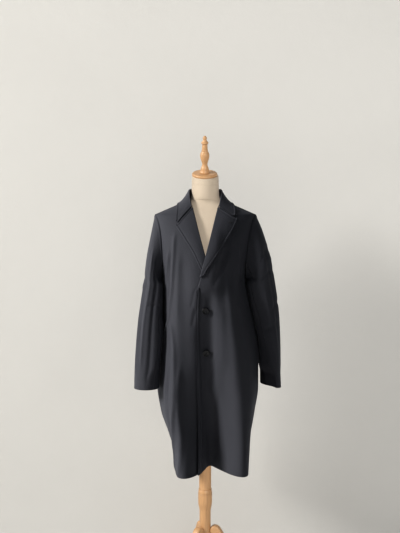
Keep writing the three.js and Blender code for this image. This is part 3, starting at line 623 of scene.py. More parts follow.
def neckline(s, side):
    """Turn and height of the neck seam, from the middle of the back to the gorge."""
    half = section(NECK_Z, side)["half"]
    x = side * half * np.sin(np.clip(s / 0.6, 0, 1) * math.pi / 2)
    behind = np.where(np.abs(x) < 1e-6, side * 180, turn_at_x(x, NECK_Z, True))
    t = np.clip((s - 0.6) / 0.4, 0, 1)
    z = lerp(NECK_Z, GORGE_Z, t)
    gorge = np.where(side < 0, roll_x(GORGE_Z, -1), roll_x(GORGE_Z, 1))
    before = turn_at_x(lerp(side * half, gorge, t), z)
    return np.where(s <= 0.6, behind, before), z


def collar_surface(name):
    """The middle of the collar's cloth: up the stand, over the roll and down the fall, station by station."""
    close = np.array([*RIM_STEPS, 8.5]) / 190
    half = np.concatenate([np.linspace(0, 0.94, 52), 1 - close[::-1]])
    place = np.concatenate([-half[:0:-1], half])
    side, s = np.where(place < 0, -1, 1), np.abs(place)
    row = row_at(COLLAR, s, "s")
    edge_z = np.where(side < 0, row["right_z"], row["left_z"])
    rim_x = side * np.where(side < 0, row["right_x"], row["left_x"])
    edge_turn = turn_at_x(rim_x, edge_z, s < 0.6)
    neck_turn, neck_z = neckline(s, side)
    edge_turn = np.where(s < 1e-9, neck_turn, edge_turn)
    foot = lifted(neck_turn, neck_z, np.zeros_like(s))
    roll = vec(side * row["roll_x"], row["roll_y"], row["roll_z"])
    outwards = unit(vec(foot[:, 0], foot[:, 1] - NECK_Y, 0))
    foot = foot - outwards * (SEAM_GAP + COLLAR_WALL / 2) + np.array([0, 0, SEAM_GAP])
    stand = lerp(foot[:, None], roll[:, None], np.linspace(0, 0.96, 12)[None, :, None])
    angles = np.radians(np.linspace(165, 0, 9))
    centre = roll + outwards * FOLD_RADIUS
    over = centre[:, None] + outwards[:, None] * (FOLD_RADIUS * np.cos(angles))[None, :, None]
    over = over + np.array([0, 0, 1]) * (FOLD_RADIUS * np.sin(angles))[None, :, None]
    tip = lifted(edge_turn, edge_z, np.full_like(s, LAYER_GAP + COLLAR_WALL / 2))
    corner = lifted(lerp(neck_turn, edge_turn, 0.42), lerp(neck_z, edge_z, 0.42), np.full_like(s, 3))
    start = roll + outwards * FOLD_RADIUS * 2
    t = stepped(26, (), 60, (*RIM_STEPS, 8.5))[1:][None, :, None]
    fall = start[:, None] * (1 - t) ** 2 + corner[:, None] * 2 * t * (1 - t) + tip[:, None] * t**2
    share = t[..., 0]
    near = np.where(share < NOTCH_AT, share / NOTCH_AT, (1 - share) / (1 - NOTCH_AT))
    near = near * smooth((s - 0.9) / 0.1)[:, None]
    pull = np.where(side[:, None] < 0, COLLAR_PULL[-1], COLLAR_PULL[1])
    x, z = fall[..., 0], fall[..., 2]
    fall = fall + on_body(x + near * pull[:, :1], z + near * pull[:, 1:]) - on_body(x, z)
    return rolled_rims(np.concatenate([stand, over, fall], axis=1))


# ---------- sleeves ----------
SLEEVE_RINGS = {
    -1: table(
        "out_x out_z in_x in_z y deep yaw dent",
        (188, 1289, 152, 1106, 5, 62, 0, 0),
        (204, 1208, 151, 1078, -2, 64, 0, 0),
        (214, 1126, 151, 1052, -10, 60, 0, 0),
        (224, 1058, 152, 1022, -20, 56, 0, 2),
        (235, 978, 153, 962, -32, 51, 0, 2),
        (242, 895, 153, 889, -45, 46, 0, 1),
        (246, 818, 157, 818, -58, 43, 0, 0),
        (248, CUFF_Z, 161, CUFF_Z, -64, 41, 0, 0),
    ),
    1: table(
        "out_x out_z in_x in_z y deep yaw dent",
        (201, 1290, 149, 1100, 6, 64, 2, 0),
        (223, 1215, 153, 1068, 3, 67, 4, 0),
        (238, 1138, 160, 1035, 1, 63, 6, 0),
        (249, 1066, 170, 1000, 0, 61, 8, 2),
        (256, 990, 182, 950, -2, 60, 10, 4),
        (259, 905, 194, 888, -4, 60, 12, 7),
        (259, 820, 200, 818, -8, 61, 15, 10),
        (259, CUFF_Z, 204, CUFF_Z, -11, 62, 18, 12),
    ),
}
SLEEVE_SEAMS = (126, 234)


def ring_point(rings, k, angle, side):
    ring = numbered_row(rings, k)
    sine, cosine = sine_cosine(angle)
    pushed = ring["dent"] * bell((angle + 360) % 360 - 140, 30)
    reach = ring["deep"] * sine - pushed * 0.3
    out = (ring["out_x"] + ring["in_x"]) / 2 + (ring["out_x"] - ring["in_x"]) / 2 * cosine
    yaw = math.radians(ring["yaw"])
    return vec(
        side * (out + reach * math.sin(yaw) + pushed),
        ring["y"] - reach * math.cos(yaw),
        (ring["out_z"] + ring["in_z"]) / 2 + (ring["out_z"] - ring["in_z"]) / 2 * cosine,
    )


def sleeve_point(angle, t, side):
    """A sleeve's outer surface at angles round it and shares t of the way down, by a Catmull-Rom curve."""
    rings = SLEEVE_RINGS[side]
    start = lifted(*armhole((angle + 360) % 360, side), np.zeros_like(angle))
    start = start + np.array([side * 2 * SEAM_GAP, 0, 0])
    points = [start, *(ring_point(rings, k, angle, side) for k in range(8))]
    points = np.stack([2 * points[0] - points[1], *points, 2 * points[-1] - points[-2]])
    place = np.clip(t, 0, 1) * 8
    k = np.minimum(place.astype(int), 7)
    w = (place - k)[..., None]
    index = np.indices(k.shape)
    a, b, c, d = (points[(k + n, *index)] for n in range(4))
    return catmull_rom(a, b, c, d, w)


# Sleeve creases: troughs and ridges along the arm, through rows of share down and angle, or across it,
# through rows of angle and share down.
SLEEVE_CREASES = {
    -1: (
        ("along", 2.2, 7, 0.12, (0.1, 66), (0.35, 70), (0.6, 62), (0.9, 58)),
        ("along", -3, 9, 0.12, (0.05, 104), (0.3, 100), (0.65, 96), (0.98, 92)),
        ("along", 1.8, 8, 0.12, (0.3, 28), (0.6, 24), (0.95, 30)),
        ("along", -2, 9, 0.14, (0.25, 48), (0.5, 44), (0.8, 46)),
        ("across", -1.7, 10, 26, (-30, 0.34), (20, 0.37), (70, 0.345)),
        ("across", 1.2, 9, 24, (-20, 0.41), (30, 0.42), (60, 0.40)),
        ("across", -2, 10, 26, (60, 0.52), (120, 0.49), (170, 0.5)),
        ("across", -1.6, 10, 24, (-80, 0.5), (-30, 0.53), (0, 0.52)),
        ("along", -2.4, 9, 0.14, (0.2, -70), (0.5, -64), (0.85, -70)),
        ("along", 2, 8, 0.14, (0.3, -96), (0.6, -90), (0.95, -92)),
    ),
    1: (
        ("along", 2, 7, 0.12, (0.12, 20), (0.4, 26), (0.7, 24), (0.97, 22)),
        ("along", -2.6, 9, 0.12, (0.1, 48), (0.4, 52), (0.8, 50)),
        ("along", 1.8, 8, 0.12, (0.3, 84), (0.6, 88), (0.95, 80)),
        ("across", -1.5, 9, 24, (0, 0.24), (40, 0.2), (95, 0.17)),
        ("across", 1.1, 9, 24, (0, 0.29), (40, 0.255), (90, 0.22)),
        ("across", -2.2, 9, 22, (10, 0.35), (50, 0.31), (100, 0.285)),
        ("across", -2, 10, 24, (-20, 0.55), (30, 0.53), (90, 0.55)),
        ("across", -1.8, 10, 24, (40, 0.66), (80, 0.64), (130, 0.65)),
        ("along", -2.4, 9, 0.14, (0.2, -60), (0.5, -66), (0.85, -62)),
        ("along", 2, 8, 0.14, (0.3, -88), (0.6, -94), (0.95, -90)),
    ),
}
SLEEVE_DEGREE = 1.05
SLEEVE_LENGTH = 610


def sleeve_creased(angle, t, side):
    """How far a sleeve's creases move its cloth out."""
    move = np.zeros(np.broadcast(angle, t).shape)
    for way, depth, width, fade, *rows in SLEEVE_CREASES[side]:
        keys, places = np.array(rows, float).T
        key, place, size = (t, angle, SLEEVE_DEGREE) if way == "along" else (angle, t, SLEEVE_LENGTH)
        middle = row_at({"key": keys, "place": places}, key, "key")["place"]
        ends = smooth((key - keys[0]) / fade) * smooth((keys[-1] - key) / fade)
        move += depth * bell((place - middle) * size, width) * ends
    return move


PRESSED_GAP = 0.4


def pressed(grid, angle, side):
    """The sleeve with its inner side moved up to the body beside it."""
    heights = np.arange(780.0, 1136.0, 5)
    turns, rows = np.meshgrid(np.arange(60.0, 121.0, 3) * side, heights)
    body = lifted(turns, rows, swollen(turns, rows) + CREASING * creased(turns, rows) + 1)
    widest = np.interp(grid[..., 2], heights, np.abs(body[..., 0]).max(axis=1))
    s = section(grid[..., 2], side)
    ahead = np.minimum(share_ahead(grid[..., 1], s), 0.26)
    here = widest - s["half"] * (1 - other_share(ahead, s["square"]))
    inner = bell((angle + 360) % 360 - 180, 70)
    free = np.clip(grid[..., 0] * side - here - PRESSED_GAP, 0, 24)
    fade = smooth((grid[..., 2] - 790) / 40) * smooth((1136 - grid[..., 2]) / 26)
    moved = grid.copy()
    moved[..., 0] -= side * free * inner * fade
    return moved


def sleeve_surface(name):
    """The outer surface of a top or under sleeve, from the armhole down, its cuff turned up inside."""
    side = 1 if "left" in name else -1
    low, high = SLEEVE_SEAMS if name.endswith("under") else (SLEEVE_SEAMS[1] - 360, SLEEVE_SEAMS[0])
    count = 52 if name.endswith("under") else 110
    seam = (0.2, 1.0, 2.4)
    angles = lerp(low, high, stepped(count, seam, high - low, seam))
    down = stepped(120, (0, 1, 2.4), SLEEVE_LENGTH, HEM_STEPS)
    turned = np.array(TURN_UP)[::-1]
    under = np.concatenate([np.zeros(len(down)), turned[:, 1]])
    down = np.concatenate([down, 1 - turned[:, 0] / SLEEVE_LENGTH])
    angle, t = np.meshgrid(angles, down)
    base = sleeve_point(angle, t, side)
    around = sleeve_point(angle + 1, t, side) - sleeve_point(angle - 1, t, side)
    along = sleeve_point(angle, t + 0.01, side) - sleeve_point(angle, t - 0.01, side)
    normal = unit(np.cross(along, around)) * -side
    from_front = (angle - low) * SLEEVE_DEGREE
    from_back = (high - angle) * SLEEVE_DEGREE
    from_top, from_cuff = t * SLEEVE_LENGTH, (1 - t) * SLEEVE_LENGTH
    lift = under[:, None] - 0.3 * bell(from_cuff - HEM_STITCH, 1.4) - 0.6 * np.exp(-from_top / 1.6)
    lift = lift + 1.5 * bell(from_top - 9, 5)
    lift = lift - 0.8 * (np.exp(-from_front / 1.3) + np.exp(-from_back / 1.3))
    lift = lift + CREASING * sleeve_creased(angle, t, side) * smooth(from_top / 30)
    lift = lift + rippled(angle * SLEEVE_DEGREE, t * SLEEVE_LENGTH, 0.8) * smooth(from_top / 30)
    return pressed(base + normal * lift[..., None], angle, side)


# ---------- mesh makers ----------
def cloth_piece(name, surface, inside, thickness, offset, material):
    """A shell of cloth on a grid of points in millimetres, its outer face away from the point inside."""
    middle = surface.shape[0] // 2, surface.shape[1] // 2
    across = surface[middle[0], middle[1] + 1] - surface[middle]
    along = surface[middle[0] + 1, middle[1]] - surface[middle]
    if np.dot(np.cross(across, along), surface[middle] - np.asarray(inside, float)) < 0:
        surface = surface[:, ::-1]
    rows, columns = surface.shape[:2]
    bm = bmesh.new()
    bmesh.ops.create_grid(bm, x_segments=columns - 1, y_segments=rows - 1, size=0.5)
    mesh = mesh_of(name, bm)
    flat = np.empty(len(mesh.vertices) * 3, np.float32)
    mesh.vertices.foreach_get("co", flat)
    share = flat.reshape(-1, 3)[:, :2] + 0.5
    j, i = np.rint(share[:, 1] * (rows - 1)).astype(int), np.rint(share[:, 0] * (columns - 1)).astype(int)
    mesh.vertices.foreach_set("co", placed(surface)[j, i].astype(np.float32).ravel())
    run, rise, _, _ = margins(surface)
    cut = np.stack([run, rise], axis=-1)[j, i] / 1000
    corners = np.empty(len(mesh.loops), np.int32)
    mesh.loops.foreach_get("vertex_index", corners)
    mesh.uv_layers.new(name="cut").data.foreach_set("uv", cut[corners].astype(np.float32).ravel())
    mesh.update()
    piece = shown(name, mesh, material)
    wall = piece.modifiers.new("cloth", "SOLIDIFY")
    wall.thickness, wall.offset = thickness / 1000, offset
    return piece


def mesh_of(name, bm):
    mesh = bpy.data.meshes.new(name)
    bm.to_mesh(mesh)
    bm.free()
    return mesh


def linked(name, data):
    """An object of a mesh, a light or a camera, in the scene."""
    made = bpy.data.objects.new(name, data)
    bpy.context.scene.collection.objects.link(made)
    return made


def shown(name, mesh, material):
    """An object of a mesh, smooth and in the scene, that moves with the part."""
    if isinstance(mesh, bmesh.types.BMesh):
        mesh = mesh_of(name, mesh)
    mesh.shade_smooth()
    mesh.materials.append(material)
    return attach(linked(name, mesh), "root")


def applied(piece):
    """The piece with its modifiers made part of its mesh."""
    evaluated = piece.evaluated_get(bpy.context.evaluated_depsgraph_get())
    mesh = bpy.data.meshes.new_from_object(evaluated)
    piece.modifiers.clear()
    piece.data = mesh
    return piece


def soft_profile(rows, steps=5):
    """A turned outline through rows of radius and height, smooth but for rows that are given twice."""
    points = np.array([rows[0], *rows, rows[-1]], float)
    out = []
    for a, b, c, d in zip(points[:-3], points[1:-2], points[2:-1], points[3:]):
        out += [catmull_rom(a, b, c, d, t) for t in np.linspace(0, 1, steps, endpoint=False)]
    out = [*out, points[-1]]
    kept = [p for k, p in enumerate(out) if k == 0 or np.linalg.norm(p - out[k - 1]) > 0.05]
    return [(max(r, 0), h) for r, h in kept]


def turned_piece(name, profile, place, material, steps=72):
    """A turned piece from its outline of radius and height, in millimetres, set at a place in the frame."""
    bm = bmesh.new()
    points = [bm.verts.new((r / 1000, 0, h / 1000)) for r, h in profile]
    edges = [bm.edges.new(pair) for pair in zip(points, points[1:])]
    bmesh.ops.spin(
        bm, geom=points + edges, cent=(0, 0, 0), axis=(0, 0, 1), dvec=(0, 0, 0), angle=2 * math.pi,
        steps=steps, use_merge=True, use_duplicate=False,
    )
    bmesh.ops.remove_doubles(bm, verts=bm.verts, dist=1e-6)
    bmesh.ops.recalc_face_normals(bm, faces=bm.faces)
    bmesh.ops.transform(bm, matrix=place, verts=bm.verts)
    return shown(name, bm, material)


def stitched(bm, points, normals, pitch, length, thick=0.3):
    """Stitches of thread along a line of points in millimetres, lying on the cloth."""
    steps = np.linalg.norm(np.diff(points, axis=0), axis=-1)
    run = np.concatenate([[0], np.cumsum(steps)])
    count = int(run[-1] // pitch)
    for k in range(count):
        ends = [(k + 0.5) * pitch - length / 2, (k + 0.5) * pitch + length / 2]
        low, high = (np.array([np.interp(end, run, points[:, axis]) for axis in range(3)]) for end in ends)
        up = np.array([np.interp(ends[0], run, normals[:, axis]) for axis in range(3)])
        laid_thread(bm, low + up * 0.12, high + up * 0.12, thick)


def laid_thread(bm, low, high, thick):
    """One short length of thread between two points in millimetres."""
    middle, along = Vector(placed((low + high) / 2)), Vector(high - low)
    shape = Matrix.Diagonal((thick / 1000, thick / 1000, along.length / 2000, 1))
    matrix = Matrix.Translation(middle) @ along.to_track_quat("Z", "Y").to_matrix().to_4x4() @ shape
    bmesh.ops.create_icosphere(bm, subdivisions=1, radius=1, matrix=matrix)


def outward_normals(surface, inside):
    normal = unit(np.cross(np.gradient(surface, axis=1), np.gradient(surface, axis=0)) + 1e-9)
    return normal * np.sign(np.sum(normal * (surface - np.asarray(inside, float)), axis=-1).mean())


def line_at(surface, normals, distances, distance, by_column):
    """Where a surface lies a distance from one of its rims, with its normals there."""
    if by_column:
        surface, normals, distances = (np.swapaxes(a, 0, 1) for a in (surface, normals, distances))
    points, ups = [], []
    for row, up, far in zip(surface, normals, distances):
        order = np.argsort(far, kind="stable")
        points.append([np.interp(distance, far[order], row[order, axis]) for axis in range(3)])
        ups.append([np.interp(distance, far[order], up[order, axis]) for axis in range(3)])
    return np.array(points), np.array(ups)


# ---------- materials ----------
def put(tree, kind, settings=None, **inputs):
    """A shader node with its settings, and its inputs as values or as other nodes' outputs."""
    made = tree.nodes.new("ShaderNode" + kind)
    for name, value in (settings or {}).items():
        setattr(made, name, value)
    for name, value in inputs.items():
        socket = made.inputs[name.replace("_", " ")]
        if isinstance(value, bpy.types.NodeSocket):
            tree.links.new(value, socket)
        else:
            socket.default_value = value
    return made


def mixed(tree, factor, low, high):
    """The colour between two colours at a factor."""
    made = tree.nodes.new("ShaderNodeMix")
    made.data_type = "RGBA"
    for socket, value in zip((made.inputs[0], made.inputs[6], made.inputs[7]), (factor, low, high)):
        if isinstance(value, bpy.types.NodeSocket):
            tree.links.new(value, socket)
        else:
            socket.default_value = value
    return made.outputs[2]


def group(name, inputs, output):
    """An empty shader node group with named number and vector inputs and one number output."""
    tree = bpy.data.node_groups.new(name, "ShaderNodeTree")
    for label in inputs:
        kind = "NodeSocketVector" if label == "Vector" else "NodeSocketFloat"
        tree.interface.new_socket(label, in_out="INPUT", socket_type=kind)
    tree.interface.new_socket(output, in_out="OUTPUT", socket_type="NodeSocketFloat")
    return tree, tree.nodes.new("NodeGroupInput").outputs, tree.nodes.new("NodeGroupOutput").inputs


def mottle_group():
    """Soft uneven patches from 0 to 1."""
    if "Mottle" in bpy.data.node_groups:
        return bpy.data.node_groups["Mottle"]
    tree, given, out = group("Mottle", ("Vector", "Scale", "Contrast"), "Factor")
    noise = put(tree, "TexNoise", Vector=given["Vector"], Scale=given["Scale"], Detail=5, Roughness=0.6)
    spread = put(tree, "Math", {"operation": "SUBTRACT"})
    tree.links.new(noise.outputs["Fac"], spread.inputs[0])
    spread.inputs[1].default_value = 0.5
    scaled = put(tree, "Math", {"operation": "MULTIPLY_ADD", "use_clamp": True})
    tree.links.new(spread.outputs[0], scaled.inputs[0])
    tree.links.new(given["Contrast"], scaled.inputs[1])
    scaled.inputs[2].default_value = 0.5
    tree.links.new(scaled.outputs[0], out["Factor"])
    return tree


def twill_group():
    """The height of twill lines or of twisted yarn, uneven from yarn to yarn."""
    if "Twill" in bpy.data.node_groups:
        return bpy.data.node_groups["Twill"]
    tree, given, out = group("Twill", ("Vector", "Lines", "Slub"), "Height")
    slub = put(tree, "TexNoise", Vector=given["Vector"], Scale=420, Detail=3, Roughness=0.7)
    wave = put(
        tree, "TexWave", {"bands_direction": "DIAGONAL"}, Vector=given["Vector"], Scale=given["Lines"],
        Distortion=1.2, Detail=2,
    )
    mix = put(tree, "Math", {"operation": "MULTIPLY_ADD"})
    tree.links.new(slub.outputs["Fac"], mix.inputs[0])
    tree.links.new(given["Slub"], mix.inputs[1])
    tree.links.new(wave.outputs["Fac"], mix.inputs[2])
    tree.links.new(mix.outputs[0], out["Height"])
    return tree


def grouped(tree, shared, **inputs):
    made = put(tree, "Group", {"node_tree": shared}, **inputs)
    return made.outputs[0]


def principled(name, **values):
    """A material with its shader's own values."""
    material = bpy.data.materials.new(name)
    material.use_nodes = True
    shader = material.node_tree.nodes["Principled BSDF"]
    for label, value in values.items():
        shader.inputs[label.replace("_", " ")].default_value = value
    return material, material.node_tree, shader.inputs


def bumped(tree, height, distance, strength, normal=None):
    made = put(tree, "Bump", Height=height, Distance=distance, Strength=strength)
    if normal:
        tree.links.new(normal, made.inputs["Normal"])
    return made.outputs["Normal"]


def shade(colour, factor):
    return (*(channel * factor for channel in colour[:3]), 1)


def toned(tree, factor, colour, low, high):
    """A colour between two shares of itself at a factor."""
    return mixed(tree, factor, shade(colour, low), shade(colour, high))


def surfaced(tree, shader, colour, factor, smoothest, roughest):
    """Links a colour, and a roughness that follows a factor, to a material's shader."""
    tree.links.new(colour, shader["Base Color"])
    rough = put(tree, "MapRange", Value=factor, To_Min=smoothest, To_Max=roughest).outputs[0]
    tree.links.new(rough, shader["Roughness"])


def twill_cloth(settings):
    """Closely woven cotton twill."""
    if "Twill cloth" in bpy.data.materials:
        return bpy.data.materials["Twill cloth"]
    material, tree, shader = principled(
        "Twill cloth", Sheen_Weight=settings.sheen, Sheen_Roughness=0.45, Sheen_Tint=(0.8, 0.86, 1, 1),
        Specular_IOR_Level=0.3,
    )
    cut = put(tree, "UVMap", {"uv_map": "cut"}).outputs["UV"]
    patches = grouped(tree, mottle_group(), Vector=cut, Scale=7, Contrast=1.6)
    lines = grouped(tree, twill_group(), Vector=cut, Lines=520, Slub=0.8)
    woven = toned(tree, lines, settings.cloth_colour, 0.8, 1.22)
    colour = mixed(tree, patches, woven, shade(settings.cloth_colour, 1.12))
    surfaced(tree, shader, colour, patches, 0.74, 0.88)
    fine = bumped(tree, lines, 0.00012, 0.5)
    soft = grouped(tree, mottle_group(), Vector=cut, Scale=38, Contrast=1)
    tree.links.new(bumped(tree, soft, 0.0012, 0.5, fine), shader["Normal"])
    return material


def sewing_thread(settings):
    if "Sewing thread" in bpy.data.materials:
        return bpy.data.materials["Sewing thread"]
    material, tree, shader = principled("Sewing thread", Sheen_Weight=0.2)
    place = put(tree, "TexCoord").outputs["Object"]
    twist = grouped(tree, twill_group(), Vector=place, Lines=900, Slub=0.3)
    surfaced(tree, shader, toned(tree, twist, settings.thread_colour, 0.75, 1.2), twist, 0.5, 0.62)
    return material


def horn(settings):
    if "Dark horn" in bpy.data.materials:
        return bpy.data.materials["Dark horn"]
    material, tree, shader = principled("Dark horn", Coat_Weight=0.25, Coat_Roughness=0.2)
    place = put(tree, "TexCoord").outputs["Object"]
    veins = grouped(tree, mottle_group(), Vector=place, Scale=160, Contrast=3)
    surfaced(tree, shader, toned(tree, veins, settings.button_colour, 0.6, 1.8), veins, 0.28, 0.42)
    return material


def jersey(settings):
    if "Cream jersey" in bpy.data.materials:
        return bpy.data.materials["Cream jersey"]
    material, tree, shader = principled("Cream jersey", Sheen_Weight=0.15, Specular_IOR_Level=0.25)
    place = put(tree, "TexCoord").outputs["Object"]
    patches = grouped(tree, mottle_group(), Vector=place, Scale=18, Contrast=1.2)
    around = put(tree, "UVMap", {"uv_map": "cut"}).outputs["UV"]
    waves = put(tree, "TexWave", {"bands_direction": "X"}, Vector=around, Scale=260, Distortion=0.6)
    ribs = waves.outputs["Fac"]
    knit = toned(tree, ribs, settings.jersey_colour, 0.93, 1.03)
    colour = mixed(tree, patches, knit, shade(settings.jersey_colour, 0.96))
    surfaced(tree, shader, colour, patches, 0.8, 0.9)
    tree.links.new(bumped(tree, ribs, 0.00015, 0.5), shader["Normal"])
    return material


def turned_wood(settings):
    """Pale wood with its grain along the upright."""
    if "Pale wood" in bpy.data.materials:
        return bpy.data.materials["Pale wood"]
    material, tree, shader = principled("Pale wood", Coat_Weight=0.12, Coat_Roughness=0.35)
    place = put(tree, "TexCoord").outputs["Object"]
    long = put(tree, "Mapping", Vector=place, Scale=(1, 1, 0.06)).outputs["Vector"]
    grain = grouped(tree, mottle_group(), Vector=long, Scale=170, Contrast=2.2)
    broad = grouped(tree, mottle_group(), Vector=long, Scale=34, Contrast=1.8)
    streaks = toned(tree, grain, settings.wood_colour, 0.78, 1.14)
    colour = mixed(tree, broad, streaks, shade(settings.wood_colour, 0.98))
    surfaced(tree, shader, colour, grain, 0.5, 0.38)
    tree.links.new(bumped(tree, grain, 0.0002, 0.4), shader["Normal"])
    return material


def plaster(name, colour, see_through):
    """Pale plaster, and nothing at all from behind where it is see-through."""
    material, tree, shader = principled(name, Roughness=0.9, Specular_IOR_Level=0.2)
    place = put(tree, "TexCoord").outputs["Object"]
    patches = grouped(tree, mottle_group(), Vector=place, Scale=1.4, Contrast=1.2)
    tree.links.new(toned(tree, patches, colour, 0.95, 1.03), shader["Base Color"])
    rough = grouped(tree, mottle_group(), Vector=place, Scale=24, Contrast=1)
    tree.links.new(bumped(tree, rough, 0.003, 0.25), shader["Normal"])
    if see_through:
        front = put(tree, "Math", {"operation": "SUBTRACT"})
        front.inputs[0].default_value = 1
        tree.links.new(put(tree, "NewGeometry").outputs["Backfacing"], front.inputs[1])
        tree.links.new(front.outputs[0], shader["Alpha"])
    return material


# ---------- sizes and colours that a user may change ----------
def colour_property(name, description, default):
    return bpy.props.FloatVectorProperty(
        name=name, description=description, default=default, subtype="COLOR", min=0, max=1, size=3,
    )


class CoatSettings(bpy.types.PropertyGroup):
    cloth_thickness: bpy.props.FloatProperty(
        name="Cloth", description="Thickness of the body's and sleeves' cloth", default=0.0008, min=0.0004,
        max=0.002, unit="LENGTH", precision=4,
    )
    lapel_thickness: bpy.props.FloatProperty(
        name="Lapels", description="Thickness of the doubled cloth of collar and lapels", default=0.0019,
        min=0.001, max=0.003, unit="LENGTH", precision=4,
    )
    stitch_pitch: bpy.props.FloatProperty(
        name="Stitch pitch", description="Distance from stitch to stitch", default=0.0032, min=0.002,
        max=0.006, unit="LENGTH", precision=4,
    )
    sheen: bpy.props.FloatProperty(
        name="Sheen", description="Soft light on the cloth's nap", default=0.12, min=0, max=1,
        subtype="FACTOR",
    )
    cloth_colour: colour_property("Cloth", "Colour of the twill", (0.073, 0.0755, 0.09))
    thread_colour: colour_property("Thread", "Colour of the sewing thread", (0.07, 0.073, 0.085))
    button_colour: colour_property("Buttons", "Colour of the horn", (0.01, 0.0105, 0.014))


class FormSettings(bpy.types.PropertyGroup):
    neck_seam_z: bpy.props.FloatProperty(
        name="Neck seam", description="Height of the seam round the neck", default=1.461, min=1.43, max=1.48,
        unit="LENGTH", precision=3,
    )
    jersey_colour: colour_property("Jersey", "Colour of the form's cover", (0.51, 0.44, 0.36))
    wood_colour: colour_property("Wood", "Colour of the cap, finial, pole and legs", (0.51, 0.32, 0.178))


class StageSettings(bpy.types.PropertyGroup):
    wall_colour: colour_property("Wall", "Colour of the wall and floor", (0.565, 0.56, 0.545))
    key_power: bpy.props.FloatProperty(
        name="Window", description="Power of the large light at the left", default=345, min=0, unit="POWER",
    )
    fill_power: bpy.props.FloatProperty(
        name="Fill", description="Power of the light on all but the coat", default=104, min=0, unit="POWER",
    )
    sky: bpy.props.FloatProperty(
        name="Room light", description="Strength of the light from all round", default=0.09, min=0, max=3,
    )
    wall_y: bpy.props.FloatProperty(
        name="Wall", description="Distance of the wall behind the pole", default=0.3, min=0.28, max=3,
        unit="LENGTH",
    )


# ---------- the coat ----------
BODY_CORE = (0, 0, 900)
NECK_CORE = (0, NECK_Y, 1300)
PANELS = ("front_left", "front_right", "back_left", "back_right")
SLEEVES = ("sleeve_left_top", "sleeve_left_under", "sleeve_right_top", "sleeve_right_under")


def sleeve_core(name):
    return (205 if "left" in name else -205), -10, 1000


def hung(nodes):
    """Hides the node that a cloth piece stands for."""
    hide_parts(nodes)


def front_at(x, z, lift=0.0):
    """A point on the wearer's left front in millimetres, with the cloth's normal there."""
    x, z = np.asarray(x, float), np.asarray(z, float)
    turn = turn_at_x(x, z)
    edge = np.abs(x - edge_x(z, 1))
    out = front_lift(x, z, 1) + CREASING * creased(turn, z) + rippled(turn * DEGREE, z, 0.9) + lift
    out = out + EDGE_CURL * bell(edge, 8)
    return lifted(turn, z, out), body_normal(turn, z)


class COAT_OT_body(bpy.types.Operator):
    """Makes the two fronts and the two backs"""

    bl_idname = "coat.body"
    bl_label = "Fronts and backs"

    def execute(self, context):
        settings = context.scene.coat
        thickness = settings.cloth_thickness * 1000
        for name in PANELS:
            surface = panel_surface(name)
            piece = cloth_piece("cloth_" + name, surface, BODY_CORE, thickness, -1, twill_cloth(settings))
            hung(name)
        return {"FINISHED"}


class COAT_OT_lapels(bpy.types.Operator):
    """Makes the lapels and the collar"""

    bl_idname = "coat.lapels"
    bl_label = "Lapels and collar"

    def execute(self, context):
        settings = context.scene.coat
        thickness = settings.lapel_thickness * 1000
        for name in ("lapel_left", "lapel_right", "collar"):
            surface = collar_surface(name) if name == "collar" else lapel_surface(name)
            piece = cloth_piece("cloth_" + name, surface, NECK_CORE, thickness, 0, twill_cloth(settings))
            hung(name)
        return {"FINISHED"}


class COAT_OT_sleeves(bpy.types.Operator):
    """Makes the top and under sleeves"""

    bl_idname = "coat.sleeves"
    bl_label = "Sleeves"

    def execute(self, context):
        settings = context.scene.coat
        thickness = settings.cloth_thickness * 1000
        for name in SLEEVES:
            surface, core = sleeve_surface(name), sleeve_core(name)
            piece = cloth_piece("cloth_" + name, surface, core, thickness, -1, twill_cloth(settings))
            hung(name)
        return {"FINISHED"}


